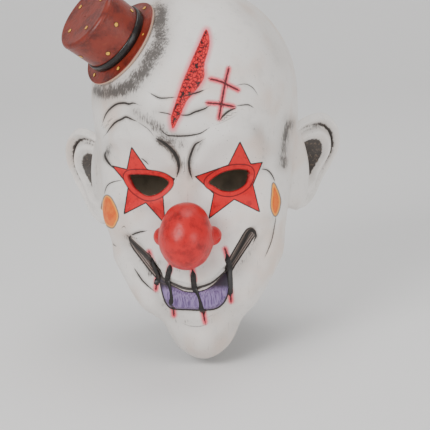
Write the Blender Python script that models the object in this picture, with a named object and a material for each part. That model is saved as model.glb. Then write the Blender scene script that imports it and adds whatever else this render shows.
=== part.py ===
"""A whole-head latex clown mask: a hollow cast head with eye holes and a neck opening, two big ears, a hollow
bulb nose, four stitches across the mouth, and a miniature top hat of crown, band and brim on the right temple.

Metres, +Z up, the face looks along -Y and +X is the wearer's left. The origin is inside the crown, where the
top of a head carries the mask. Clay forms are shares of the named sizes: across is a share of half the head's
width, back a share of its depth from the middle of the skull, and up a share of its height from the line of the
eyes. Folds, eye holes and stitches are drawn as they are seen from the front, in units of SIGHT, and carried on
to the clay along the lines of sight. The drawing stretches with the head.
"""

import math

import bpy
import numpy as np
from mathutils import Matrix, Vector

# The cast latex head
HEAD_WIDTH = 0.197
HEAD_DEPTH = 0.226
HEAD_HEIGHT = 0.334
CROWN_SHARE = 0.49
LATEX = 0.0028
SEAT_GAP = 0.0003
EYE_LINE = LATEX - CROWN_SHARE * HEAD_HEIGHT
EYE_PLANE = -0.41 * HEAD_DEPTH
EYES = np.array((0.0, EYE_PLANE, EYE_LINE))
SCALE = np.array((HEAD_WIDTH / 2, HEAD_DEPTH, HEAD_HEIGHT))

# One step in the height of a fold, and how far a cut reaches before and behind the face
FOLD_STEP = HEAD_DEPTH / 226
CUT_REACH = 0.2 * HEAD_DEPTH

# Columns round the head and rows down it, outside and inside
HEAD_GRID = (50, 50)
HOLLOW_GRID = (32, 30)

# Where the neck opening cuts the head, as angles below straight up, seen from the middle of the head
RIM_FRONT = math.radians(158)
RIM_BACK = math.radians(124)
RIM_CURVE = 2.0

# How the drawn lines are seen: from the wearer's left and above, the head leaning a little, from VIEW_DISTANCE.
# One unit of the drawing is SIGHT wide at the eyes, whose middle is at EYES_AT. DRAWN_SCALE is SCALE for the head
# that was drawn.
VIEW_TURN = math.radians(6)
VIEW_RISE = math.radians(15)
VIEW_LEAN = math.radians(-2.5)
VIEW_DISTANCE = 1.6
SIGHT = 0.0009
EYES_AT = np.array((188.0, 182.0))
DRAWING_MIDDLE = np.array((215.0, 215.0))
DRAWN_SCALE = np.array((0.0985, 0.226, 0.334))

# Ears
EAR_HEIGHT = 0.093
EAR_FLARE = math.radians(48)
EAR_WALL = 0.0032
EAR_BULGE = 0.011
EAR_DISH = 0.009
EAR_STEP = EAR_HEIGHT / 93
EAR_UNEVEN = 0.005
EAR_AT = np.array((1.086, 0.062, -0.030))

# Bulb nose
NOSE_WIDE = 0.049
NOSE_TALL = 0.057
NOSE_DEEP = 0.060
NOSE_AHEAD = 0.036
NOSE_WALL = 0.003
NOSE_PASSAGE = 0.024
NOSE_AT = (186, 238)

# Stitches
STITCH_WIDE = 0.0052
STITCH_THICK = 0.0034

# Miniature top hat
HAT_BASE = 0.064
HAT_TOP = 0.067
HAT_HEIGHT = 0.043
HAT_WALL = 0.0025
BRIM_ACROSS = 0.088
BRIM_THICK = 0.0032
BRIM_DROOP = 0.0030
BAND_TALL = 0.0075
BAND_THICK = 0.0016
BAND_GAP = 0.0006
HAT_ROUND = 0.004
BRIM_ROUND = 0.0015
BRIM_LAP = 0.003
HAT_AXIS = Vector((-0.648, -0.417, 0.637)).normalized()
HAT_AT = (116, 39)
HAT_SINK = 0.0045

# Clay forms that make up the head. across, back, up: the middle. wide, deep, tall: half its size. melt: how
# softly it joins, in the same share as deep. pair: 1 where the other side has one too.
CLAY = (
    # name            across back   up      wide  deep   tall   melt pair
    ("cranium",       -0.01, 0.000, 0.185,  0.98, 0.50, 0.305,  0.06, 0),
    ("skull_base",     0.00, 0.010, 0.020,  0.95, 0.41, 0.270,  0.08, 0),
    ("nape",           0.00, 0.060, -0.22,  0.80, 0.31, 0.220,  0.08, 0),
    ("middle_face",    0.01, -0.18, -0.06,  0.87, 0.26, 0.250,  0.08, 0),
    ("upper_jaw",      0.03, -0.25, -0.200, 0.80, 0.20, 0.170,  0.08, 0),
    ("lower_jaw",      0.02, -0.29, -0.315, 0.58, 0.18, 0.120,  0.10, 0),
    ("chin",           0.06, -0.34, -0.425, 0.31, 0.13, 0.082,  0.08, 0),
    ("ear_root",       0.92, 0.020, -0.05,  0.14, 0.09, 0.110,  0.05, 1),
)

# Folds and swellings of the face. wide: how far each reaches across its line, in units of SIGHT. rise: in
# steps of FOLD_STEP, about a millimetre, negative for a hollow.
FOLDS = (
    # name                 wide  rise  line
    ("right_socket",        13, -6.5, ((126, 181), (168, 182))),
    ("left_socket",         13, -6.5, ((209, 181), (252, 176))),
    ("bridge_of_nose",      11,  6.0, ((187, 172), (187, 225))),
    ("right_brow",          11,  6.5, ((173, 163), (160, 149), (142, 138), (122, 138))),
    ("left_brow",           11,  6.5, ((197, 163), (209, 147), (230, 135), (250, 138))),
    ("right_brow_tail",      9,  3.0, ((112, 148), (106, 166))),
    ("left_brow_tail",       9,  3.0, ((262, 146), (270, 160))),
    ("right_brow_upper",     6,  2.2, ((105, 124), (116, 113), (134, 112), (152, 122))),
    ("left_brow_upper",      7,  2.0, ((225, 116), (245, 110), (262, 118))),
    ("right_frown",          4, -3.0, ((158, 138), (173, 151), (179, 168), (178, 177))),
    ("left_frown",           4, -3.0, ((200, 141), (192, 155), (190, 170), (192, 178))),
    ("forehead_furrow_1",    4, -1.2, ((155, 94), (174, 97), (204, 90))),
    ("forehead_furrow_2",    4, -1.2, ((158, 113), (180, 116), (211, 106))),
    ("forehead_furrow_3",    4, -1.4, ((163, 132), (180, 136), (209, 128))),
    ("right_lid",            7,  2.5, ((134, 205), (162, 201))),
    ("left_lid",             7,  2.5, ((214, 200), (244, 196))),
    ("right_cheek",         17,  6.0, ((114, 214), (140, 226))),
    ("left_cheek",          17,  6.0, ((266, 206), (240, 222))),
    ("muzzle",              19,  7.0, ((168, 255), (212, 253))),
    ("mouth_right",          5, -5.0, ((130, 238), (141, 251), (152, 263), (160, 274))),
    ("mouth_middle",         4, -3.5, ((160, 274), (174, 284), (189, 289), (200, 288), (213, 282), (226, 271))),
    ("mouth_left",           5, -4.5, ((226, 271), (238, 256), (248, 238), (251, 230))),
    ("lower_lip",            9,  5.0, ((166, 292), (182, 301), (208, 301), (222, 290))),
    ("below_lip",            9, -3.0, ((172, 321), (214, 321))),
    ("right_jowl",           9,  3.0, ((119, 256), (133, 283), (148, 302))),
    ("right_jowl_fold",      4, -2.0, ((130, 262), (142, 280), (154, 292))),
    ("left_jowl",           10,  3.0, ((272, 250), (258, 278), (244, 298))),
    ("point_of_chin",       15,  4.0, ((202, 340), (204, 346))),
)

# The eye holes, seen as drawn: two corners, and how far the lids bow above and below the line between them
EYE_HOLES = (
    # name         inner corner  outer corner  above below
    ("eye_right",  (169, 182.7), (128, 176.4), 5,    16),
    ("eye_left",   (209, 182.0), (250, 171.8), 7,    14),
)

STITCHES = (
    ((151, 259), (155, 267), (158, 276), (156, 286)),
    ((171, 265), (168, 277), (170, 292), (173, 309)),
    ((193, 271), (194, 284), (198, 298), (204, 315)),
    ((226, 255), (229, 266), (230, 281), (230, 297)),
)

# The ears' edges about their middles, as the angle from the back of the ear, counted upwards, and the distance
# in EAR_HEIGHT. The right ear's lower back is the fuller.
EAR_EDGES = (
    # degrees left   right
    (0,    0.325, 0.335),
    (37,   0.445, 0.450),
    (62,   0.485, 0.485),
    (90,   0.445, 0.445),
    (120,  0.420, 0.420),
    (155,  0.350, 0.350),
    (195,  0.340, 0.340),
    (225,  0.460, 0.470),
    (248,  0.550, 0.570),
    (262,  0.500, 0.545),
    (276,  0.370, 0.430),
    (292,  0.285, 0.345),
    (315,  0.260, 0.300),
    (345,  0.280, 0.305),
)

# Ridges and hollows of the ear's front. along: where between the middle and the edge. wide: in the same share.
# rise: in steps of EAR_STEP, negative for a hollow. middle, reach: the angles about the ear that it covers, in degrees.
EAR_FORMS = (
    # name       along wide  rise middle reach
    ("bowl",      0.00, 0.42, -9.0,   0, 999),
    ("antihelix", 0.62, 0.10,  3.5,  20, 110),
    ("scapha",    0.78, 0.07, -1.5,  35, 100),
    ("helix",     0.92, 0.08,  4.0,  50, 130),
    ("tragus",    0.50, 0.16,  4.0, 190,  45),
    ("lobe",      0.70, 0.25,  2.5, 250,  35),
)

# The middle of the head, from which every part of its surface can be seen
HEART = np.array((0.0, -0.08 * HEAD_DEPTH, EYE_LINE - 0.03 * HEAD_HEIGHT))


def material(name, colour, roughness, metallic=0.0):
    made = bpy.data.materials.new(name)
    made.use_nodes = True
    shader = made.node_tree.nodes["Principled BSDF"]
    shader.inputs["Base Color"].default_value = (*colour, 1.0)
    shader.inputs["Roughness"].default_value = roughness
    shader.inputs["Metallic"].default_value = metallic
    return made


def new_object(name, points, faces, look=None):
    """An object of these points and faces, its normals outward; with no look it is a cutter and is hidden."""
    mesh = bpy.data.meshes.new(name)
    mesh.from_pydata([tuple(point) for point in points], [], [tuple(face) for face in faces])
    mesh.update()
    obj = bpy.data.objects.new(name, mesh)
    bpy.context.scene.collection.objects.link(obj)
    if look is None:
        obj.hide_render = True
        obj.display_type = "WIRE"
    else:
        mesh.materials.append(look)
        mesh.shade_smooth()
        mesh.set_sharp_from_angle(angle=math.radians(40))
    return obj


def boolean(obj, other, operation="DIFFERENCE"):
    step = obj.modifiers.new(other.name, "BOOLEAN")
    step.object = other
    step.operation = operation
    step.solver = "EXACT"


def sight_axes():
    """The right, up and backward directions of the view in which the lines are drawn, and where it is seen from."""
    back = np.array((math.sin(VIEW_TURN) * math.cos(VIEW_RISE),
                     -math.cos(VIEW_TURN) * math.cos(VIEW_RISE), math.sin(VIEW_RISE)))
    level = np.array((math.cos(VIEW_TURN), math.sin(VIEW_TURN), 0.0))
    upward = np.cross(back, level)
    right = level * math.cos(VIEW_LEAN) + upward * math.sin(VIEW_LEAN)
    above = upward * math.cos(VIEW_LEAN) - level * math.sin(VIEW_LEAN)
    aside = (EYES_AT - DRAWING_MIDDLE) * SIGHT
    return right, above, back, back * VIEW_DISTANCE - right * aside[0] + above * aside[1]


def seen(points):
    """Where points appear in the drawing, once the head is stretched to the one that was drawn."""
    right, above, back, viewer = sight_axes()
    offset = (points - EYES) / SCALE * DRAWN_SCALE - viewer
    depth = -(offset @ back)
    across = offset @ right / depth * VIEW_DISTANCE / SIGHT
    down = -(offset @ above) / depth * VIEW_DISTANCE / SIGHT
    return np.stack((across, down), axis=-1) + DRAWING_MIDDLE


def on_plane(drawn, level):
    """Places in the drawing carried on to the upright plane y = level, along the lines of sight."""
    right, above, back, viewer = sight_axes()
    offset = (np.array(drawn, float) - DRAWING_MIDDLE) * SIGHT / VIEW_DISTANCE
    line = offset[:, :1] * right - offset[:, 1:] * above - back
    drawn_level = (level - EYE_PLANE) / HEAD_DEPTH * DRAWN_SCALE[1]
    met = viewer + line * ((drawn_level - viewer[1]) / line[:, 1:2])
    return EYES + met / DRAWN_SCALE * SCALE


def line_distance(places, line):
    """How far each place in the drawing lies from a line through the given points."""
    nearest = np.full(places.shape[:-1], np.inf)
    corners = np.array(line, float)
    for start, end in zip(corners[:-1], corners[1:]):
        run = end - start
        share = np.clip((places - start) @ run / (run @ run), 0.0, 1.0)
        nearest = np.minimum(nearest, np.linalg.norm(places - start - share[..., None] * run, axis=-1))
    return nearest


def ellipsoid_distance(points, middle, half):
    """How far each point lies outside an ellipsoid: its scaled radius less one, over the slope of that radius."""
    local = points - middle
    scaled = np.linalg.norm(local / half, axis=-1)
    slope = np.linalg.norm(local / (half * half), axis=-1)
    return scaled * (scaled - 1.0) / np.maximum(slope, 1e-9)


def melt_together(first, second, width):
    """The smaller of two distances, rounded over the given width where they meet."""
    near = np.maximum(width - np.abs(first - second), 0.0)
    return np.minimum(first, second) - near * near / (4.0 * width)


def clay_distance(points):
    """Distance from the surface of the joined clay forms, negative inside."""
    found = None
    for name, across, back, up, wide, deep, tall, melt, pair in CLAY:
        half = np.array((wide, deep, tall)) * SCALE
        for side in (1, -1) if pair else (1,):
            middle = np.array((side * across, back, up)) * SCALE + (0.0, 0.0, EYE_LINE)
            outside = ellipsoid_distance(points, middle, half)
            found = outside if found is None else melt_together(found, outside, melt * HEAD_DEPTH)
    return found


def clay_radius(directions, inset):
    """For each direction from HEART, the radius at which the clay, shrunk by inset, ends: steps, then halving."""
    steps = np.linspace(0.24, 0.0, 48)
    low = np.zeros(len(directions))
    searching = np.ones(len(directions), bool)
    for radius in steps:
        inside = searching & (clay_distance(HEART + directions * radius) < -inset)
        low[inside] = radius
        searching &= ~inside
    high = low + steps[0] - steps[1]
    for _ in range(14):
        middle = (low + high) / 2
        inside = clay_distance(HEART + directions * middle[:, None]) < -inset
        low = np.where(inside, middle, low)
        high = np.where(inside, high, middle)
    return low


def fold_rise(points, directions):
    """Height added by the folds, each a bell-shaped ridge or hollow about its line, on the face side only."""
    places = seen(points)
    rise = np.zeros(len(points))
    for name, wide, steps, line in FOLDS:
        rise += steps * FOLD_STEP * np.exp(-(line_distance(places, line) / wide) ** 2)
    facing = np.clip((-directions[:, 1] - 0.05) / 0.35, 0.0, 1.0)
    return rise * facing * facing * (3 - 2 * facing)


def head_surface(directions, inset):
    """Points of the head's surface along directions from HEART, shrunk by inset."""
    bare = HEART + directions * clay_radius(directions, 0.0)[:, None]
    radius = clay_radius(directions, inset) + fold_rise(bare, directions)
    return HEART + directions * radius[:, None]


def head_directions(columns, rows, past_rim=0.0):
    """Straight up, then rows of directions down to the neck opening, with columns crowding towards the face. The
    opening is lowest under the chin and rises round the sides to the nape."""
    turn = np.arange(columns) / columns * 2 * math.pi
    azimuth = turn - 0.45 * np.sin(turn)
    rim = RIM_BACK + (RIM_FRONT - RIM_BACK) * ((1 + np.cos(azimuth)) / 2) ** RIM_CURVE + past_rim
    polar = (np.arange(1, rows + 1) / rows)[:, None] * rim[None, :]
    azimuth = np.broadcast_to(azimuth, polar.shape)
    rings = np.stack((np.sin(polar) * np.sin(azimuth), -np.sin(polar) * np.cos(azimuth), np.cos(polar)), axis=-1)
    return np.concatenate((((0.0, 0.0, 1.0),), rings.reshape(-1, 3)))


def ring_faces(columns, rows):
    """Triangles over a first point, rings of points, and a last point, each quad split the same way."""
    here = np.arange(columns)
    after = (here + 1) % columns
    faces = [(0, 1 + a, 1 + b) for a, b in zip(here, after)]
    for row in range(rows - 1):
        top = 1 + row * columns
        low = top + columns
        faces += [(top + a, low + a, low + b) for a, b in zip(here, after)]
        faces += [(top + a, low + b, top + b) for a, b in zip(here, after)]
    last = 1 + (rows - 1) * columns
    foot = 1 + rows * columns
    faces += [(last + a, foot, last + b) for a, b in zip(here, after)]
    return faces


def head_form(name, columns, rows, inset, past_rim=0.0, look=None):
    points = head_surface(head_directions(columns, rows, past_rim), inset)
    foot = points[-columns:].mean(axis=0)
    return new_object(name, np.vstack((points, foot)), ring_faces(columns, rows), look)


def surface_at(drawn):
    """Points of the head's surface seen at places in the drawing, and their directions from HEART."""
    right, above, back, viewer = sight_axes()
    drawn = np.array(drawn, float)
    guess = on_plane(drawn, EYE_PLANE)
    for _ in range(12):
        directions = guess - HEART
        directions /= np.linalg.norm(directions, axis=1)[:, None]
        guess = head_surface(directions, 0.0)
        missed = (drawn - seen(guess)) * SIGHT
        guess = guess + (missed[:, :1] * right - missed[:, 1:] * above) / DRAWN_SCALE * SCALE
    return guess, directions


def prism(name, outline, direction, reach):
    """A cutter: a flat outline carried the same reach both ways along a direction."""
    outline = np.array(outline)
    half = np.array(direction) * reach
    count = len(outline)
    points = np.concatenate((outline - half, outline + half))
    here = range(count)
    faces = [(a, (a + 1) % count, count + (a + 1) % count, count + a) for a in here]
    faces += [tuple(reversed(range(count))), tuple(range(count, 2 * count))]
    return new_object(name, points, faces)


def turned_outward(obj):
    """Turns a closed mesh's faces outward."""
    mesh = bpy.data.meshes[obj.data.name]
    volume = 0.0
    for face in mesh.polygons:
        corners = [mesh.vertices[index].co for index in face.vertices]
        for second, third in zip(corners[1:-1], corners[2:]):
            volume += corners[0].dot(second.cross(third))
    if volume < 0:
        mesh.flip_normals()
    return obj


def eye_hole(name, inner, outer, above, below):
    """A cutter for an eye hole: two bowed lids between the corners, carried straight through the wall."""
    inner = np.array(inner)
    outer = np.array(outer)
    share = np.linspace(0, 1, 9)[:-1]
    bow = np.sin(share * math.pi) ** 0.8
    line = inner + (outer - inner) * share[:, None]
    lower = line + np.stack((0 * bow, below * bow), axis=1)
    back_line = outer + (inner - outer) * share[:, None]
    upper = back_line - np.stack((0 * bow, above * bow), axis=1)
    outline = on_plane(np.concatenate((lower, upper)), EYE_PLANE)
    return turned_outward(prism(name, outline, (0, 1, 0), CUT_REACH))


def ear(name, side, look):
    """A plate bounded by EAR_EDGES: rings of points out over its front, and back over its plain rear."""
    columns = 24
    rings = 7
    angle = np.arange(columns) / columns * 360
    table = np.array(EAR_EDGES)
    edge = np.interp(angle, table[:, 0], table[:, 1 if side > 0 else 2], period=360) * EAR_HEIGHT
    share = (np.arange(1, rings + 1) / rings) ** 0.85
    front = np.zeros((rings, columns))
    for form, along, wide, steps, middle, reach in EAR_FORMS:
        away = np.abs((angle - middle + 180) % 360 - 180)
        cover = np.exp(-(away / reach) ** 2)
        bell = np.exp(-((share - along) / wide) ** 2)
        front += steps * EAR_STEP * bell[:, None] * cover[None, :]
    front[-1] = 0.0
    rear = -EAR_WALL - EAR_BULGE * (1 - share ** 2)[:, None] * np.ones(columns)
    rear[-1] = -EAR_WALL
    back_out = np.array((side * math.sin(EAR_FLARE), math.cos(EAR_FLARE), 0.0))
    facing = np.array((side * math.cos(EAR_FLARE), -math.sin(EAR_FLARE), 0.0))
    upward = np.array((0.0, 0.0, 1.0))
    root = EAR_AT * SCALE * (side, 1, 1) + (0.0, 0.0, EYE_LINE + side * EAR_UNEVEN)
    turn = np.radians(angle)[:, None]
    flat = (np.cos(turn) * back_out + np.sin(turn) * upward) * edge[:, None]
    front_rings = root + share[:, None, None] * flat + front[:, :, None] * facing
    rear_rings = root + share[::-1, None, None] * flat + rear[::-1, :, None] * facing
    first = root - facing * EAR_DISH
    last = root - facing * (EAR_WALL + EAR_BULGE)
    points = np.vstack((first, front_rings.reshape(-1, 3), rear_rings.reshape(-1, 3), last))
    return turned_outward(new_object(name, points, ring_faces(columns, 2 * rings), look))


def ball(name, middle, half, columns, rows, look=None):
    """An ellipsoid, its poles above and below."""
    polar = np.arange(1, rows + 1) / (rows + 1) * math.pi
    turn = np.arange(columns) / columns * 2 * math.pi
    ring = np.stack(np.broadcast_arrays(np.sin(polar)[:, None] * np.sin(turn), -np.sin(polar)[:, None] * np.cos(turn),
                                        np.cos(polar)[:, None]), axis=-1).reshape(-1, 3)
    unit = np.vstack(((0, 0, 1), ring, (0, 0, -1)))
    return turned_outward(new_object(name, np.array(middle) + unit * np.array(half), ring_faces(columns, rows), look))


def turned(name, profile, columns, look, matrix):
    """A closed profile of (radius, height) turned about Z, then placed by a matrix."""
    turn = np.arange(columns) / columns * 2 * math.pi
    round_points = [(radius * math.cos(a), radius * math.sin(a), height) for radius, height in profile for a in turn]
    here = np.arange(columns)
    after = (here + 1) % columns
    rows = len(profile)
    faces = []
    for row in range(rows):
        top = row * columns
        low = (row + 1) % rows * columns
        faces += [(top + a, low + a, low + b, top + b) for a, b in zip(here, after)]
    points = [matrix @ Vector(point) for point in round_points]
    return turned_outward(new_object(name, points, faces, look))


def hat_matrix():
    """Local Z along the hat's axis, and the origin HAT_SINK below the scalp."""
    seat = Vector(surface_at([HAT_AT])[0][0]) - HAT_AXIS * HAT_SINK
    return Matrix.Translation(seat) @ HAT_AXIS.to_track_quat("Z", "Y").to_matrix().to_4x4()


def hat_crown(look, matrix):
    """A cup, mouth down: its flared wall ends in a closed top with a rounded edge."""
    base = HAT_BASE / 2
    top = HAT_TOP / 2
    columns = 28
    foot = BRIM_THICK / 2 + SEAT_GAP
    ceiling = HAT_HEIGHT - HAT_WALL
    outer = ((base, foot), (base + 0.35 * (top - base), 0.5 * HAT_HEIGHT), (top, HAT_HEIGHT - HAT_ROUND),
             (top - 0.3 * HAT_ROUND, HAT_HEIGHT - 0.3 * HAT_ROUND), (top - HAT_ROUND, HAT_HEIGHT),
             (0.4 * top, HAT_HEIGHT))
    inner = ((0.4 * top, ceiling), (top - HAT_WALL - 0.5 * HAT_ROUND, ceiling),
             (top - HAT_WALL, ceiling - 0.5 * HAT_ROUND), (base - HAT_WALL, foot))
    points = []
    turn = np.arange(columns) / columns * 2 * math.pi
    rings = tuple(reversed(outer)) + tuple(reversed(inner))
    for radius, height in rings:
        points += [matrix @ Vector((radius * math.cos(a), radius * math.sin(a), height)) for a in turn]
    points = [matrix @ Vector((0, 0, HAT_HEIGHT))] + points + [matrix @ Vector((0, 0, ceiling))]
    return turned_outward(new_object("hat_crown", points, ring_faces(columns, len(rings)), look))


def hat_brim(look, matrix):
    inner = HAT_BASE / 2 - HAT_WALL - BRIM_LAP
    crown = HAT_BASE / 2
    outer = BRIM_ACROSS / 2
    half = BRIM_THICK / 2
    edge = -BRIM_DROOP
    profile = ((inner, half), (crown + BAND_GAP + BAND_THICK, half), (outer - BRIM_ROUND, half + edge),
               (outer, edge), (outer - BRIM_ROUND, edge - half), (crown, -half), (inner, -half))
    return turned("hat_brim", profile, 36, look, matrix)


def hat_band(look, matrix):
    inner = HAT_BASE / 2 + BAND_GAP
    foot = BRIM_THICK / 2 + SEAT_GAP
    outer = inner + BAND_THICK
    profile = ((inner, foot), (outer, foot), (outer, foot + BAND_TALL), (inner, foot + BAND_TALL))
    return turned("hat_band", profile, 36, look, matrix)


def stitch(name, drawn, look):
    """A strap drawn tight across the lips, bridging the mouth, its ends sunk into the latex."""
    places = np.array(drawn, float)
    share = np.linspace(0, len(places) - 1, 9)
    path = np.stack([np.interp(share, np.arange(len(places)), places[:, axis]) for axis in (0, 1)], axis=1)
    points, outward = surface_at(path)
    lying = np.linalg.norm(points - HEART, axis=1)
    taut = lying.copy()
    for _ in range(8):
        taut[1:-1] = (taut[:-2] + 2 * taut[1:-1] + taut[2:]) / 4
    points = HEART + outward * np.maximum(lying, taut)[:, None]
    run = np.gradient(points, axis=0)
    run /= np.linalg.norm(run, axis=1)[:, None]
    across = np.cross(run, outward)
    across /= np.linalg.norm(across, axis=1)[:, None]
    lift = np.full(len(points), 0.5 * STITCH_THICK)
    lift[[0, -1]] = -0.4 * STITCH_THICK
    middle = points + outward * lift[:, None]
    corners = []
    for a, u in ((-1, -1), (1, -1), (0.7, 1), (-0.7, 1)):
        corners.append(middle + across * a * STITCH_WIDE / 2 + outward * u * STITCH_THICK / 2)
    rings = np.stack(corners, axis=1).reshape(-1, 3)
    count = len(points)
    faces = [(3, 2, 1, 0), tuple(4 * (count - 1) + index for index in range(4))]
    for row in range(count - 1):
        low = 4 * row
        faces += [(low + a, low + (a + 1) % 4, low + 4 + (a + 1) % 4, low + 4 + a) for a in range(4)]
    return turned_outward(new_object(name, rings, faces, look))


def nose(look):
    """A hollow bulb with a wing on each side, open at its back."""
    middle = np.array(on_plane([NOSE_AT], EYE_PLANE - NOSE_AHEAD)[0])
    half = np.array((NOSE_WIDE, NOSE_DEEP, NOSE_TALL)) / 2
    bulb = ball("nose", middle, half, 20, 10, look)
    for side in (1, -1):
        wing_at = middle + half * (side * 0.92, 0.35, -0.05)
        wing = ball("nose_wing", wing_at, half * (0.30, 0.30, 0.27), 9, 5)
        boolean(bulb, wing, "UNION")
    boolean(bulb, ball("nose_hollow", middle, half - NOSE_WALL, 16, 8))
    return bulb, middle


def main():
    for obj in list(bpy.data.objects):
        bpy.data.objects.remove(obj)
    painted = material("painted_latex", (0.80, 0.76, 0.71), 0.62)
    red = material("nose_paint", (0.55, 0.02, 0.02), 0.35)
    brown = material("hat_paint", (0.25, 0.04, 0.02), 0.5)
    ribbon = material("band_paint", (0.01, 0.01, 0.01), 0.4)
    lace = material("stitch_paint", (0.01, 0.01, 0.01), 0.4)

    head = head_form("head", *HEAD_GRID, 0.0, look=painted)
    seat = head_form("head_seat", *HEAD_GRID, -SEAT_GAP)
    boolean(head, head_form("head_hollow", *HOLLOW_GRID, LATEX, past_rim=math.radians(7)))
    for hole in EYE_HOLES:
        boolean(head, eye_hole(*hole))

    bulb, middle = nose(red)
    boolean(bulb, seat)
    round_turn = np.arange(16) / 16 * 2 * math.pi
    circle = np.stack((np.cos(round_turn), 0 * round_turn, np.sin(round_turn)), axis=1) * NOSE_PASSAGE / 2
    boolean(head, turned_outward(prism("nose_passage", middle + circle, (0, 1, 0), CUT_REACH)))

    for name, side in (("ear_left", 1), ("ear_right", -1)):
        boolean(ear(name, side, painted), seat)
    for number, drawn in enumerate(STITCHES, 1):
        boolean(stitch("stitch_%d" % number, drawn, lace), seat)
    matrix = hat_matrix()
    hat_crown(brown, matrix)
    boolean(hat_brim(brown, matrix), seat)
    hat_band(ribbon, matrix)


main()
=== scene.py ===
"""The looks of a whole-head latex clown mask: the painted skin and its folds, the ears, bulb nose, stitches and
miniature top hat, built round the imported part.

Metres, +Z up, the face looks along -Y and +X is the wearer's left. Painted shapes are drawn as they are seen from
the front, in units of SIGHT, and each vertex carries how far it lies from them, so that the paint is as sharp as
the distance and not as the mesh.
"""

import math

import bpy
import numpy as np
from mathutils import Matrix, Vector

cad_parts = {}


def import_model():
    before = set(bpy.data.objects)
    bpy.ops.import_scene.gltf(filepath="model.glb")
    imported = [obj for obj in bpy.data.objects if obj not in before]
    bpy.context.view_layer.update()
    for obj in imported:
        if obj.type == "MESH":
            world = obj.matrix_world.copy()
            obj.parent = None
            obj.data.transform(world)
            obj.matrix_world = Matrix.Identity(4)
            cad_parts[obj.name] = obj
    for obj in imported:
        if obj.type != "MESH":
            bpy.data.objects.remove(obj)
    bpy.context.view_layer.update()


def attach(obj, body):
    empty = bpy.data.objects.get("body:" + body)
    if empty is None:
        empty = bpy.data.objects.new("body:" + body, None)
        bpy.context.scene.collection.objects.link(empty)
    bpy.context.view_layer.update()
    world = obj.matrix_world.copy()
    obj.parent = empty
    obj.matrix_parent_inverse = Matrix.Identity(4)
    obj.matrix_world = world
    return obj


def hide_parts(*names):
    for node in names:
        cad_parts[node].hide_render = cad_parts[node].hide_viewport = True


# The cast latex head, as in the part
HEAD_WIDTH = 0.197
HEAD_DEPTH = 0.226
HEAD_HEIGHT = 0.334
CROWN_SHARE = 0.49
LATEX = 0.0028
EYE_LINE = LATEX - CROWN_SHARE * HEAD_HEIGHT
EYE_PLANE = -0.41 * HEAD_DEPTH
EYES = np.array((0.0, EYE_PLANE, EYE_LINE))
SCALE = np.array((HEAD_WIDTH / 2, HEAD_DEPTH, HEAD_HEIGHT))
HEART = np.array((0.0, -0.08 * HEAD_DEPTH, EYE_LINE - 0.03 * HEAD_HEIGHT))
SKIN_GRID = (330, 284)
LINING_GRID = (110, 96)
RIM_FRONT = math.radians(158)
RIM_BACK = math.radians(124)
RIM_CURVE = 2.0

# The view in which the painted lines are drawn, which is the camera's too
VIEW_TURN = math.radians(6)
VIEW_RISE = math.radians(15)
VIEW_LEAN = math.radians(-2.5)
VIEW_DISTANCE = 1.6
SIGHT = 0.0009
EYES_AT = np.array((188.0, 182.0))
DRAWING_MIDDLE = np.array((215.0, 215.0))
FILM = 36.0

EAR_HEIGHT = 0.093
EAR_FLARE = math.radians(48)
EAR_WALL = 0.0032
EAR_BULGE = 0.011
EAR_UNEVEN = 0.005
EAR_AT = np.array((1.086, 0.062, -0.030))

NOSE_WIDE = 0.049
NOSE_TALL = 0.057
NOSE_DEEP = 0.060
NOSE_AHEAD = 0.036
NOSE_PASSAGE = 0.024
NOSE_AT = (186, 238)

STITCH_WIDE = 0.0052
STITCH_THICK = 0.0034

HAT_BASE = 0.064
HAT_TOP = 0.067
HAT_HEIGHT = 0.043
HAT_WALL = 0.0025
HAT_ROUND = 0.004
BRIM_ACROSS = 0.088
BRIM_THICK = 0.0032
BRIM_DROOP = 0.0030
BAND_TALL = 0.0075
BAND_THICK = 0.0016
HAT_AXIS = Vector((-0.648, -0.417, 0.637)).normalized()
HAT_AT = (116, 39)
HAT_SINK = 0.0045

CLAY = (
    # name            across back   up      wide  deep   tall   melt pair
    ("cranium",       -0.01, 0.000, 0.185,  0.98, 0.50, 0.305,  0.06, 0),
    ("skull_base",     0.00, 0.010, 0.020,  0.95, 0.41, 0.270,  0.08, 0),
    ("nape",           0.00, 0.060, -0.22,  0.80, 0.31, 0.220,  0.08, 0),
    ("middle_face",    0.01, -0.18, -0.06,  0.87, 0.26, 0.250,  0.08, 0),
    ("upper_jaw",      0.03, -0.25, -0.200, 0.80, 0.20, 0.170,  0.08, 0),
    ("lower_jaw",      0.02, -0.29, -0.315, 0.58, 0.18, 0.120,  0.10, 0),
    ("chin",           0.06, -0.34, -0.425, 0.31, 0.13, 0.082,  0.08, 0),
    ("ear_root",       0.92, 0.020, -0.05,  0.14, 0.09, 0.110,  0.05, 1),
)

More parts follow.
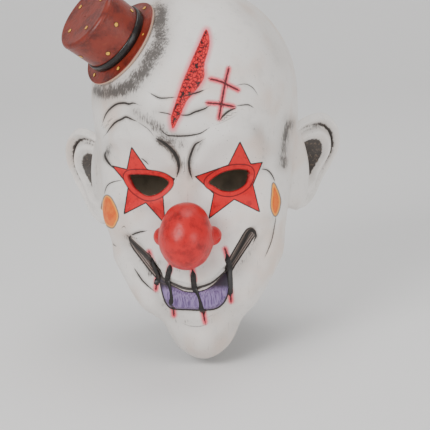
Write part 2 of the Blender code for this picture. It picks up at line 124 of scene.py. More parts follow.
# Broad folds and swellings. wide: their reach in units of SIGHT. rise: millimetres, negative for a hollow.
FOLDS = (
    # name                 wide  rise  line
    ("right_socket",        13, -6.5, ((126, 181), (168, 182))),
    ("left_socket",         13, -6.5, ((209, 181), (252, 176))),
    ("bridge_of_nose",      11,  6.0, ((187, 172), (187, 225))),
    ("right_brow",          11,  6.5, ((173, 163), (160, 149), (142, 138), (122, 138))),
    ("left_brow",           11,  6.5, ((197, 163), (209, 147), (230, 135), (250, 138))),
    ("right_brow_tail",      9,  3.0, ((112, 148), (106, 166))),
    ("left_brow_tail",       9,  3.0, ((262, 146), (270, 160))),
    ("right_brow_upper",     6,  2.2, ((105, 124), (116, 113), (134, 112), (152, 122))),
    ("left_brow_upper",      7,  2.0, ((225, 116), (245, 110), (262, 118))),
    ("right_frown",          4, -3.0, ((158, 138), (173, 151), (179, 168), (178, 177))),
    ("left_frown",           4, -3.0, ((200, 141), (192, 155), (190, 170), (192, 178))),
    ("forehead_furrow_1",    4, -1.2, ((155, 94), (174, 97), (204, 90))),
    ("forehead_furrow_2",    4, -1.2, ((158, 113), (180, 116), (211, 106))),
    ("forehead_furrow_3",    4, -1.4, ((163, 132), (180, 136), (209, 128))),
    ("right_lid",            7,  2.5, ((134, 205), (162, 201))),
    ("left_lid",             7,  2.5, ((214, 200), (244, 196))),
    ("right_cheek",         17,  6.0, ((114, 214), (140, 226))),
    ("left_cheek",          17,  6.0, ((266, 206), (240, 222))),
    ("muzzle",              19,  7.0, ((168, 255), (212, 253))),
    ("mouth_right",          5, -5.0, ((130, 238), (141, 251), (152, 263), (160, 274))),
    ("mouth_middle",         4, -3.5, ((160, 274), (174, 284), (189, 289), (200, 288), (213, 282), (226, 271))),
    ("mouth_left",           5, -4.5, ((226, 271), (238, 256), (248, 238), (251, 230))),
    ("lower_lip",            9,  5.0, ((166, 292), (182, 301), (208, 301), (222, 290))),
    ("below_lip",            9, -3.0, ((172, 321), (214, 321))),
    ("right_jowl",           9,  3.0, ((119, 256), (133, 283), (148, 302))),
    ("right_jowl_fold",      4, -2.0, ((130, 262), (142, 280), (154, 292))),
    ("left_jowl",           10,  3.0, ((272, 250), (258, 278), (244, 298))),
    ("point_of_chin",       15,  4.0, ((202, 340), (204, 346))),
)

# Creases cut into the clay and blackened. wide: half the painted line. deep: millimetres. dark: how black.
CREASES = (
    # name                wide  deep dark  line
    ("furrow_1_right",     0.7,  1.0, 0.9, ((150, 93), (155, 96), (160, 98), (167, 98), (176, 97))),
    ("furrow_1_left",      0.8,  1.0, 0.9, ((184, 96), (192, 94), (199, 92), (204, 90))),
    ("furrow_1_far",       0.5,  0.6, 0.6, ((234, 86), (245, 84), (253, 88), (259, 97))),
    ("furrow_2_right",     0.6,  0.8, 0.7, ((158, 112), (165, 113), (172, 115))),
    ("furrow_2_left",      0.9,  1.0, 0.9, ((180, 115), (188, 115), (195, 112), (204, 109), (209, 106))),
    ("furrow_2_far",       0.6,  0.8, 0.8, ((236, 106), (243, 105), (249, 105), (254, 108))),
    ("furrow_3",           0.8,  1.1, 0.9, ((161, 130), (167, 135), (175, 136), (184, 136), (193, 135), (201, 133), (209, 128))),
    ("brow_stroke_left",   1.0,  1.0, 0.9, ((220, 120), (224, 115), (229, 111), (236, 108))),
    ("brow_edge_left",     0.4,  0.6, 0.4, ((210, 127), (221, 123), (231, 118), (240, 113))),
    ("brow_arc_upper",     0.9,  1.1, 1.0, ((103, 122), (106, 114), (111, 108), (117, 104), (124, 103), (129, 104), (133, 103), (137, 104))),
    ("brow_arc_lower",     0.9,  1.2, 1.0, ((106, 134), (111, 127), (116, 122), (122, 119), (126, 117), (131, 119), (136, 121))),
    ("brow_arc_inner",     0.5,  0.8, 0.5, ((136, 121), (144, 126), (150, 131), (155, 138))),
    ("temple_right",       1.0,  1.1, 1.0, ((106, 151), (105, 156), (108, 162), (113, 168))),
    ("frown_right",        1.5,  1.8, 1.0, ((157, 139), (164, 143), (172, 150), (177, 158), (179, 167), (177, 176))),
    ("frown_left",         1.1,  1.8, 1.0, ((201, 141), (195, 145), (191, 154), (189, 163), (190, 172), (192, 178))),
    ("star_side_right",    0.6,  0.5, 0.8, ((141, 158), (145, 161), (149, 165))),
    ("crow_left_1",        0.7,  0.8, 0.8, ((261, 169), (267, 170), (272, 175), (275, 182))),
    ("crow_right_1",       0.6,  0.8, 0.7, ((104, 195), (107, 186), (113, 182), (123, 180))),
    ("cheek_right",        0.5,  0.6, 0.5, ((121, 229), (124, 226), (126, 229))),
    ("jowl_right_1",       0.8,  1.0, 0.8, ((134, 268), (138, 274), (142, 280), (148, 286), (154, 291))),
    ("jowl_right_2",       0.5,  0.7, 0.6, ((110, 240), (113, 244), (117, 247))),
    ("jowl_left_1",        0.6,  0.9, 0.6, ((276, 215), (275, 223), (272, 239), (268, 250), (264, 259))),
    ("mouth_corner_right", 1.6,  1.5, 1.0, ((129, 238), (133, 243), (140, 250), (147, 257), (153, 263), (160, 274))),
    ("mouth_spur_right",   0.8,  1.0, 0.9, ((129, 237), (134, 234), (140, 232), (146, 231))),
    ("mouth_corner_left",  1.4,  1.5, 1.0, ((225, 271), (231, 263), (238, 252), (244, 241), (248, 233), (252, 230), (256, 235), (254, 241))),
    ("mouth_slit",         1.3,  1.2, 1.0, ((159, 274), (166, 280), (174, 284), (184, 288), (193, 289), (201, 287), (213, 282), (225, 271))),
    ("lip_bottom",         0.7,  1.2, 0.8, ((160, 284), (164, 298), (168, 306), (174, 309), (190, 310), (208, 310), (219, 307), (226, 300), (229, 290))),
    ("chin_fold",          0.5,  0.8, 0.4, ((180, 322), (190, 326), (202, 326), (212, 321))),
)

STAR_RIGHT = ((131.5, 147), (147, 169.3), (174.8, 178.7), (163, 196), (165, 224), (145.8, 202.8), (124, 214),
              (128.4, 185.4), (112, 165.7), (127, 169.3))
STAR_LEFT = ((240, 141.8), (228.5, 165), (195.4, 176.6), (213.8, 193.6), (208.8, 218.6), (234.3, 199.4),
             (259.7, 211.9), (253, 184.6), (262.4, 162.3), (250.8, 164))
EYE_HOLE_RIGHT = ((128.4, 176.4), (134.6, 174.6), (147, 175), (158, 176.4), (165, 179), (168.6, 182.7),
                  (164, 189), (156, 194.3), (147, 195.6), (138, 190.7), (132, 184.5))
EYE_HOLE_LEFT = ((209.3, 182), (220, 174), (230.7, 170.4), (241.4, 169.5), (249, 172), (246.8, 182),
                 (239.6, 188.2), (230.7, 191.3), (221.8, 190.4), (214.6, 186.4))
SPOT_RIGHT = ((105.4, 196), (111.6, 199), (118, 214), (116, 223), (111.6, 227.7), (103.6, 221.4), (101.8, 207))
SPOT_LEFT = ((273.6, 183), (279.8, 197), (279.4, 208), (275.4, 216), (271.3, 208), (271.8, 193.6))
LIP = ((159, 276), (166, 282), (174, 286), (184, 291), (194, 292), (204, 290), (214, 284), (226, 272),
       (230, 283), (228, 294), (222, 305), (212, 310), (190, 310), (173, 309), (167, 305), (163, 297))
CORNER_RIGHT = ((129, 237), (136, 243), (146, 252), (155, 262), (163, 276), (158, 279), (150, 271), (140, 258),
                (132, 247))
CORNER_LEFT = ((225, 270), (230, 257), (238, 243), (246, 230), (252, 228), (256, 233), (252, 240), (244, 252),
               (236, 264), (230, 273))
WOUND = ((206.7, 30), (203, 36), (200, 43), (192, 61), (187.5, 72), (183, 82.5), (179.5, 93), (175.4, 105),
         (171.4, 118), (172.8, 128), (176, 122.7), (180.4, 113.8), (186.6, 100.4), (196.4, 88.8), (203.6, 77),
         (203.6, 64.6), (207, 53), (209, 42))

# Thin cuts, blackened in the middle and reddened round it. wide: half the black line.
CUTS = (
    # name           wide line
    ("cross_upright", 1.1, ((228.6, 69), (226, 80), (222.5, 98), (219, 118))),
    ("cross_upper",   1.1, ((211, 79), (222, 82), (230, 86), (238, 90))),
    ("cross_lower",   1.1, ((208, 103), (220, 104), (233, 106.5))),
    ("slit_1",        0.8, ((149, 252), (152, 262), (153, 268))),
    ("slit_1_low",    0.8, ((157, 279), (156, 289))),
    ("slit_2",        0.8, ((171, 264), (169, 272))),
    ("slit_2_low",    0.8, ((173, 307), (174, 315))),
    ("slit_3",        0.8, ((192, 267), (194, 280))),
    ("slit_3_low",    0.8, ((203, 311), (205, 322))),
    ("slit_4",        0.8, ((225, 249), (228, 259))),
    ("slit_4_low",    0.8, ((230, 290), (231, 301))),
)

STITCHES = (
    ((151, 259), (155, 267), (158, 276), (156, 286)),
    ((171, 265), (168, 277), (170, 292), (173, 309)),
    ((193, 271), (194, 284), (198, 298), (204, 315)),
    ((226, 255), (229, 266), (230, 281), (230, 297)),
)

# Where dark dirt paint was brushed on and wiped off, and painted shade under the hat and nose and in the folds. wide:
# its reach. dark: its strength.
DIRT_AND_SHADE = (
    # name             wide dark line
    ("under_hat",        13, 0.9, ((100, 92), (125, 88), (145, 68), (160, 40), (160, 10))),
    ("before_left_ear",   7, 0.8, ((290, 122), (285, 140), (283, 165))),
    ("before_right_ear",  5, 0.5, ((96, 135), (96, 170), (99, 195))),
    ("brow_scratches",   10, 0.7, ((136, 112), (150, 122), (163, 132), (180, 142))),
    ("frown_right",       6, 0.9, ((160, 141), (172, 151), (180, 165))),
    ("frown_left",        5, 0.6, ((201, 142), (192, 158), (190, 176))),
    ("temple_right",      6, 0.7, ((110, 147), (106, 158))),
    ("furrow_2",          6, 0.4, ((158, 112), (180, 116), (204, 109))),
    ("beside_left_eye",   7, 0.5, ((256, 130), (264, 150), (262, 170))),
    ("mouth_right",       8, 0.7, ((128, 240), (142, 256), (152, 272))),
    ("mouth_left",        7, 0.6, ((256, 240), (246, 256), (236, 272))),
    ("round_lip",         7, 0.5, ((156, 292), (172, 316), (205, 322), (232, 300))),
    ("under_nose",        7, 0.5, ((160, 262), (186, 272), (212, 262))),
    ("round_stars",       5, 0.4, ((120, 205), (145, 208), (170, 215))),
    ("chin",             12, 0.4, ((172, 335), (203, 352), (232, 325))),
    ("crown",            10, 0.3, ((240, 5), (262, 28), (280, 60))),
)

EAR_EDGES = (
    # degrees left   right
    (0,    0.325, 0.335),
    (37,   0.445, 0.450),
    (62,   0.485, 0.485),
    (90,   0.445, 0.445),
    (120,  0.420, 0.420),
    (155,  0.350, 0.350),
    (195,  0.340, 0.340),
    (225,  0.460, 0.470),
    (248,  0.550, 0.570),
    (262,  0.500, 0.545),
    (276,  0.370, 0.430),
    (292,  0.285, 0.345),
    (315,  0.260, 0.300),
    (345,  0.280, 0.305),
)

# Ridges and hollows of the ear's front. along: between the middle and the edge. wide: in the same share. rise:
# millimetres. middle, reach: the degrees about the ear that it covers.
EAR_FORMS = (
    # name        along wide  rise middle reach
    ("bowl",       0.00, 0.40, -9.5,   0, 999),
    ("antihelix",  0.58, 0.10,  3.6,  20, 100),
    ("scapha",     0.76, 0.06, -2.6,  45,  80),
    ("helix",      0.91, 0.07,  4.2,  50, 120),
    ("helix_fold", 0.68, 0.05, -1.6,  85,  45),
    ("tragus",     0.50, 0.14,  4.5, 190,  40),
    ("antitragus", 0.52, 0.12,  3.5, 265,  28),
    ("lobe",       0.74, 0.24,  2.5, 250,  35),
)

NOSE_FORMS = (
    # name         across ahead up     wide  deep  tall  melt hand
    ("bulb",        0.00, 0.00,  0.00, 1.00, 1.00, 1.00, 0.10,  1),
    ("brow_of_it",  0.02, -0.10, 0.62, 0.62, 0.60, 0.42, 0.40,  1),
    ("wing_left",   0.93, -0.38, -0.05, 0.32, 0.34, 0.30, 0.10, 1),
    ("wing_right", -0.93, -0.38, -0.05, 0.32, 0.34, 0.30, 0.10, 1),
    ("nostril",     1.12, -0.16, -0.22, 0.12, 0.14, 0.13, 0.04, -1),
)

# Painted dots on the hat: on its top or side or brim, at an angle about its axis, and how far out or up
DOTS = (
    # where  degrees along size
    ("top",    160, 0.62, 0.0048),
    ("top",    240, 0.60, 0.0046),
    ("top",     60, 0.66, 0.0046),
    ("top",    330, 0.60, 0.0046),
    ("side",    10, 0.62, 0.0046),
    ("side",    55, 0.35, 0.0046),
    ("side",   100, 0.66, 0.0046),
    ("side",   145, 0.40, 0.0046),
    ("side",   190, 0.66, 0.0046),
    ("side",   235, 0.38, 0.0046),
    ("side",   280, 0.62, 0.0046),
    ("side",   325, 0.36, 0.0046),
    ("brim",    20, 0.50, 0.0042),
    ("brim",    80, 0.50, 0.0042),
    ("brim",   140, 0.50, 0.0042),
    ("brim",   200, 0.50, 0.0042),
    ("brim",   260, 0.50, 0.0042),
    ("brim",   320, 0.50, 0.0042),
)


def linear(code):
    """A colour written as hex, in the linear light that shaders work in."""
    parts = [int(code[index:index + 2], 16) / 255 for index in (1, 3, 5)]
    return tuple(part / 12.92 if part < 0.04045 else ((part + 0.055) / 1.055) ** 2.4 for part in parts) + (1.0,)


def sight_axes():
    """The right, up and backward directions of the drawing's view, and its eye seen from EYES."""
    back = np.array((math.sin(VIEW_TURN) * math.cos(VIEW_RISE),
                     -math.cos(VIEW_TURN) * math.cos(VIEW_RISE), math.sin(VIEW_RISE)))
    level = np.array((math.cos(VIEW_TURN), math.sin(VIEW_TURN), 0.0))
    upward = np.cross(back, level)
    right = level * math.cos(VIEW_LEAN) + upward * math.sin(VIEW_LEAN)
    above = upward * math.cos(VIEW_LEAN) - level * math.sin(VIEW_LEAN)
    aside = (EYES_AT - DRAWING_MIDDLE) * SIGHT
    return right, above, back, back * VIEW_DISTANCE - right * aside[0] + above * aside[1]


def seen(points):
    """Where points appear in the drawing."""
    right, above, back, viewer = sight_axes()
    offset = points - EYES - viewer
    depth = -(offset @ back)
    across = offset @ right / depth * VIEW_DISTANCE / SIGHT
    down = -(offset @ above) / depth * VIEW_DISTANCE / SIGHT
    return np.stack((across, down), axis=-1) + DRAWING_MIDDLE


def on_plane(drawn, level):
    """Places in the drawing carried on to the upright plane y = level, along the lines of sight."""
    right, above, back, viewer = sight_axes()
    offset = (np.array(drawn, float) - DRAWING_MIDDLE) * SIGHT / VIEW_DISTANCE
    line = offset[:, :1] * right - offset[:, 1:] * above - back
    return EYES + viewer + line * ((level - EYE_PLANE - viewer[1]) / line[:, 1:2])


def eased(line, closed=False, steps=5):
    """A smooth curve through the points of a line: each span is a cubic whose slopes come from its neighbours."""
    points = np.array(line, float)
    if closed:
        points = np.vstack((points[-1], points, points[:2]))
    else:
        points = np.vstack((2 * points[0] - points[1], points, 2 * points[-1] - points[-2]))
    before, start, end, after = points[:-3], points[1:-2], points[2:-1], points[3:]
    share = (np.arange(steps) / steps)[:, None, None]
    curve = 0.5 * (2 * start + (end - before) * share + (2 * before - 5 * start + 4 * end - after) * share ** 2
                   + (3 * start - before - 3 * end + after) * share ** 3)
    curve = curve.transpose(1, 0, 2).reshape(-1, 2)
    return curve if closed else np.vstack((curve, points[-2]))


def near_line(places, line, reach=1e9):
    """For each place: its distance from a line, with a sign for its side, and how far along the line it is."""
    signed = np.full(len(places), 1e3)
    along = np.zeros(len(places))
    low = line.min(axis=0) - reach
    high = line.max(axis=0) + reach
    close = np.flatnonzero(((places > low) & (places < high)).all(axis=1))
    spots = places[close]
    best = np.full(len(spots), 1e3)
    side = np.ones(len(spots))
    where = np.zeros(len(spots))
    count = len(line) - 1
    for index in range(count):
        start = line[index]
        run = line[index + 1] - start
        offset = spots - start
        share = np.clip(offset @ run / max(run @ run, 1e-9), 0.0, 1.0)
        away = offset - share[:, None] * run
        distance = np.hypot(away[:, 0], away[:, 1])
        closer = distance < best
        best[closer] = distance[closer]
        side[closer] = np.sign(run[0] * offset[closer, 1] - run[1] * offset[closer, 0])
        where[closer] = (index + share[closer]) / count
    signed[close] = best * np.where(side == 0, 1, side)
    along[close] = where
    return signed, along


def outline_distance(places, outline):
    """How far each place lies outside a closed outline, negative inside."""
    closed = np.vstack((outline, outline[:1]))
    distance = np.abs(near_line(places, closed)[0])
    inside = np.zeros(len(places), bool)
    for start, end in zip(closed[:-1], closed[1:]):
        crosses = (start[1] > places[:, 1]) != (end[1] > places[:, 1])
        slope = (end[0] - start[0]) / (end[1] - start[1] if end[1] != start[1] else 1e-9)
        inside ^= crosses & (places[:, 0] < start[0] + slope * (places[:, 1] - start[1]))
    return np.where(inside, -distance, distance)


def ellipsoid_distance(points, middle, half):
    """How far each point lies outside an ellipsoid: its scaled radius less one, over the slope of that radius."""
    local = points - middle
    scaled = np.linalg.norm(local / half, axis=-1)
    slope = np.linalg.norm(local / (half * half), axis=-1)
    return scaled * (scaled - 1.0) / np.maximum(slope, 1e-9)


def melt_together(first, second, width):
    """The smaller of two distances, rounded over the given width where they meet."""
    near = np.maximum(width - np.abs(first - second), 0.0)
    return np.minimum(first, second) - near * near / (4.0 * width)


def clay_distance(points):
    """Distance from the surface of the joined clay forms of the head, negative inside."""
    found = None
    for name, across, back, up, wide, deep, tall, melt, pair in CLAY:
        half = np.array((wide, deep, tall)) * SCALE
        for side in (1, -1) if pair else (1,):
            middle = np.array((side * across, back, up)) * SCALE + (0.0, 0.0, EYE_LINE)
            outside = ellipsoid_distance(points, middle, half)
            found = outside if found is None else melt_together(found, outside, melt * HEAD_DEPTH)
    return found


def outermost(directions, heart, distance, reach):
    """For each direction, the furthest radius from heart at which the distance crosses nought."""
    steps = np.linspace(reach, 0.0, 40)
    low = np.zeros(len(directions))
    waiting = np.arange(len(directions))
    for radius in steps:
        inside = distance(heart + directions[waiting] * radius) < 0.0
        low[waiting[inside]] = radius
        waiting = waiting[~inside]
    high = low + steps[0] - steps[1]
    for _ in range(12):
        middle = (low + high) / 2
        inside = distance(heart + directions * middle[:, None]) < 0.0
        low = np.where(inside, middle, low)
        high = np.where(inside, high, middle)
    return low


def fold_rise(points, directions):
    """Height added by the broad folds, each a bell-shaped ridge or hollow about its line, on the face side."""
    places = seen(points)
    rise = np.zeros(len(points))
    for name, wide, millimetres, line in FOLDS:
        away = near_line(places, np.array(line, float), 3 * wide)[0]
        rise += millimetres * 0.001 * np.exp(-(away / wide) ** 2)
    facing = np.clip((-directions[:, 1] - 0.05) / 0.35, 0.0, 1.0)
    return rise * facing * facing * (3 - 2 * facing)


def taper(along):
    """A line's strength along it: full over most of its length and thin at its ends."""
    return np.clip(np.sin(math.pi * np.clip(along, 0.02, 0.98)), 0, 1) ** 0.5


def crease_depth(points, facing):
    """How deep the creases cut: a narrow bell across each line, with a soft shoulder raised on each side."""
    places = seen(points)
    depth = np.zeros(len(points))
    for name, wide, millimetres, dark, line in CREASES:
        away, along = near_line(places, eased(line), 12)
        groove = np.exp(-(away / (1.3 + wide)) ** 2) - 0.25 * np.exp(-((np.abs(away) - 3.5 - wide) / 1.8) ** 2)
        depth = np.maximum(depth, 0) + millimetres * 0.001 * taper(along) * groove * (np.abs(away) < 12)
    cut = outline_distance(places, eased(WOUND, closed=True, steps=2))
    lumps = np.sin(places[:, 0] * 1.9 + places[:, 1] * 0.7) * np.sin(places[:, 1] * 1.4 - places[:, 0] * 0.8)
    depth += np.clip(-cut / 3, 0, 1) * (0.0008 + 0.0007 * lumps) - 0.0006 * np.exp(-((cut - 1.5) / 1.5) ** 2)
    for name, wide, line in CUTS:
        away = near_line(places, eased(line), 12)[0]
        depth += 0.0009 * np.exp(-(away / 1.6) ** 2) - 0.0004 * np.exp(-((np.abs(away) - 3.5) / 1.6) ** 2)
    lip = outline_distance(places, eased(LIP, closed=True, steps=2))
    depth -= 0.0012 * np.clip(-lip / 3, 0, 1)
    return depth * facing


def head_directions(columns, rows, past_rim=0.0):
    """Straight up, then rows of directions down to the neck opening, with columns crowding towards the face."""
    turn = np.arange(columns) / columns * 2 * math.pi
    azimuth = turn - 0.45 * np.sin(turn)
    rim = RIM_BACK + (RIM_FRONT - RIM_BACK) * ((1 + np.cos(azimuth)) / 2) ** RIM_CURVE + past_rim
    polar = (np.arange(1, rows + 1) / rows)[:, None] * rim[None, :]
    azimuth = np.broadcast_to(azimuth, polar.shape)
    rings = np.stack((np.sin(polar) * np.sin(azimuth), -np.sin(polar) * np.cos(azimuth), np.cos(polar)), axis=-1)
    return np.concatenate((((0.0, 0.0, 1.0),), rings.reshape(-1, 3)))


def head_surface(directions, inset):
    """Points of the head's surface along directions from HEART, shrunk by inset: clay radius plus broad folds."""
    radius = outermost(directions, HEART, clay_distance, 0.2)
    rise = fold_rise(HEART + directions * radius[:, None], directions)
    if inset:
        radius = outermost(directions, HEART, lambda points: clay_distance(points) + inset, 0.2)
    return HEART + directions * (radius + rise)[:, None]


def fan_grid(columns, rows):
    """Faces of a first point and open rings of points below it."""
    here = np.arange(columns)
    after = np.roll(here, -1)
    top = 1 + np.arange(rows - 1)[:, None] * columns
    quads = np.stack((top + here, top + columns + here, top + columns + after, top + after), axis=-1).reshape(-1, 4)
    cap = np.stack((0 * here, 1 + here, 1 + after), axis=-1)
    return cap, quads


def tube_grid(rings, around, closed_ends=False):
    """Quads of rings of points, each ring closed on itself."""
    here = np.arange(around)
    after = np.roll(here, -1)
    top = np.arange(rings - 1)[:, None] * around
    return np.stack((top + here, top + around + here, top + around + after, top + after), axis=-1).reshape(-1, 4)


def new_piece(name, points, faces, look, node, values=None):
    """A smooth mesh object that stands for a node, with its vertex values stored as attributes."""
    mesh = bpy.data.meshes.new(name)
    mesh.from_pydata(np.asarray(points).tolist(), [], [list(face) for group in faces for face in group.tolist()])
    for key, value in (values or {}).items():
        mesh.attributes.new(key, "FLOAT", "POINT").data.foreach_set("value", np.asarray(value, np.float32))
    mesh.update()
    mesh.shade_smooth()
    mesh.materials.append(look)
    obj = bpy.data.objects.new(name, mesh)
    bpy.context.scene.collection.objects.link(obj)
    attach(obj, "root")
    for each in node:
        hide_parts(each)
    return obj


def mesh_normals(points, faces):
    """Vertex normals of a mesh, from a mesh made for the purpose and taken away again."""
    mesh = bpy.data.meshes.new("measure")
    mesh.from_pydata(np.asarray(points).tolist(), [], [list(face) for group in faces for face in group.tolist()])
    mesh.update()
    normals = np.zeros(len(points) * 3, np.float32)
    mesh.vertex_normals.foreach_get("vector", normals)
    bpy.data.meshes.remove(mesh)
    return normals.reshape(-1, 3)


def paint_fields(points, facing):
    """How far each vertex lies from each painted shape, in units of SIGHT, and how strongly dirt paint and painted
    shade lie on it.
    """
    places = seen(points)
    hidden = 60 * (1 - facing)
    holes = [eased(outline, closed=True) for outline in (EYE_HOLE_RIGHT, EYE_HOLE_LEFT)]
    stars = [np.array(outline) for outline in (STAR_RIGHT, STAR_LEFT)]
    spots = [eased(outline, closed=True) for outline in (SPOT_RIGHT, SPOT_LEFT)]
    corners = [eased(outline, closed=True) for outline in (CORNER_RIGHT, CORNER_LEFT)]
    fields = {
        "star": np.minimum(*[outline_distance(places, outline) for outline in stars]) + hidden,
        "hole": np.minimum(*[outline_distance(places, outline) for outline in holes]) + hidden,
        "spot": np.minimum(*[outline_distance(places, outline) for outline in spots]) + hidden,
        "corner": np.minimum(*[outline_distance(places, outline) for outline in corners]) + hidden,
        "lip": outline_distance(places, eased(LIP, closed=True)) + hidden,
        "wound": outline_distance(places, eased(WOUND, closed=True)) + hidden,
        "across": places[:, 0],
        "down": places[:, 1],
    }
    nearest = np.full(len(points), 1e3)
    side = np.full(len(points), 1e3)
    width = np.zeros(len(points))
    for name, wide, deep, dark, line in CREASES:
        away, along = near_line(places, eased(line), 14)
        closer = np.abs(away) - wide < nearest
        nearest[closer] = np.abs(away[closer]) - wide
        side[closer] = away[closer]
        width[closer] = (wide * taper(along) * dark)[closer]
    cut = np.full(len(points), 1e3)
    cut_side = np.full(len(points), 1e3)
    for name, wide, line in CUTS:
        away = near_line(places, eased(line), 14)[0]
        closer = np.abs(away) < cut
        cut[closer] = np.abs(away[closer])
        cut_side[closer] = away[closer]
    # Dirt paint and painted shade: a soft bell about each line of the table, under the hat and nose and along the
    # folds.
    dirt_and_shade = np.zeros(len(points))
    for name, wide, dark, line in DIRT_AND_SHADE:
        away = near_line(places, eased(line), 3 * wide)[0]
        dirt_and_shade = 1 - (1 - dirt_and_shade) * (1 - dark * np.exp(-(away / wide) ** 2))
    fields.update({"crease": side, "crease_far": nearest + hidden, "crease_wide": width,
                   "cut": cut_side, "cut_far": cut + hidden, "dirt_and_shade": dirt_and_shade * facing})
    return fields


def head_facing(points, normals):
    """One where the surface is turned to the drawing's eye, nought where it is turned away."""
    sight = EYES + sight_axes()[3] - points
    sight /= np.linalg.norm(sight, axis=1)[:, None]
    return np.clip(((normals * sight).sum(axis=1) + 0.02) / 0.12, 0, 1)


def in_passage(points):
    """How far each point lies outside the round passage into the nose, negative inside, on the face side only."""
    middle = on_plane([NOSE_AT], EYE_PLANE - NOSE_AHEAD)[0]
    away = np.hypot(points[:, 0] - middle[0], points[:, 2] - middle[2]) - NOSE_PASSAGE / 2
    return np.where(points[:, 1] < HEART[1], away, 1.0)


def head_skin(look):
    """The painted outside: clay radius, broad folds, then creases pressed in along the normal. Faces inside an
    eye hole are dropped and the last row of vertices slides on to the drawn outline."""
    cap, quads = fan_grid(*SKIN_GRID)
    directions = head_directions(*SKIN_GRID)
    points = head_surface(directions, 0.0)
    normals = mesh_normals(points, (cap, quads))
    facing = head_facing(points, normals)
    for _ in range(2):
        cut = crease_depth(points, facing)
        pressed = points - normals * cut[:, None]
    points = pressed
    fields = paint_fields(points, facing)
    points, fields, quads = open_holes(points, fields, quads)
    skin = new_piece("head", points, (cap, quads), look, ["head"], fields)
    rim = skin.modifiers.new("wall", "SOLIDIFY")
    rim.thickness = LATEX
    rim.offset = -1.0
    rim.use_rim_only = True
    return skin


def open_holes(points, fields, quads):
    """Drops the faces inside the eye holes and slides the vertices beside them on to the outline."""
    right, above, back, viewer = sight_axes()
    depth = fields["hole"]
    inside = depth[quads].mean(axis=1) < 0
    inside |= in_passage(points)[quads].mean(axis=1) < 0
    edge = np.unique(quads[inside])
    kept = np.unique(quads[~inside])
    border = np.intersect1d(edge, kept)
    border = border[np.abs(depth[border]) < 3]
    for _ in range(3):
        places = seen(points[border])
        holes = [eased(outline, closed=True) for outline in (EYE_HOLE_RIGHT, EYE_HOLE_LEFT)]
        step = 0.25
        here = np.minimum(*[outline_distance(places, outline) for outline in holes])
        slope = []
        for shift in ((step, 0), (0, step)):
            moved = np.minimum(*[outline_distance(places + shift, outline) for outline in holes])
            slope.append((moved - here) / step)
        slope = np.stack(slope, axis=1)
        slope /= np.maximum(np.linalg.norm(slope, axis=1), 0.3)[:, None]
        move = -here[:, None] * slope * SIGHT
        points[border] += move[:, :1] * right - move[:, 1:] * above
    fields["hole"][border] = 0.0
    return points, fields, quads[~inside]


def head_lining(look):
    """The unpainted inside: the same form shrunk by the latex, open at the eye holes and into the nose."""
    cap, quads = fan_grid(*LINING_GRID)
    directions = head_directions(*LINING_GRID)
    points = head_surface(directions, 0.96 * LATEX)
    places = seen(points)
    facing = head_facing(points, mesh_normals(points, (cap, quads)))
    holes = [eased(outline, closed=True) for outline in (EYE_HOLE_RIGHT, EYE_HOLE_LEFT)]
    depth = np.minimum(*[outline_distance(places, outline) for outline in holes]) + 60 * (1 - facing)
    inside = (depth[quads].mean(axis=1) < 1) | (in_passage(points)[quads].mean(axis=1) < 0)
    quads = quads[~inside][:, ::-1]
    return new_piece("head_lining", points, (cap[:, ::-1], quads), look, [])


def skin_at(drawn):
    """Points of the skin, without its fine creases, seen at places in the drawing, and their directions."""
    right, above, back, viewer = sight_axes()
    drawn = np.array(drawn, float)
    guess = on_plane(drawn, EYE_PLANE)
    for _ in range(12):
        directions = guess - HEART
        directions /= np.linalg.norm(directions, axis=1)[:, None]
        guess = head_surface(directions, 0.0)
        missed = (drawn - seen(guess)) * SIGHT
        guess = guess + missed[:, :1] * right - missed[:, 1:] * above
    return guess, directions


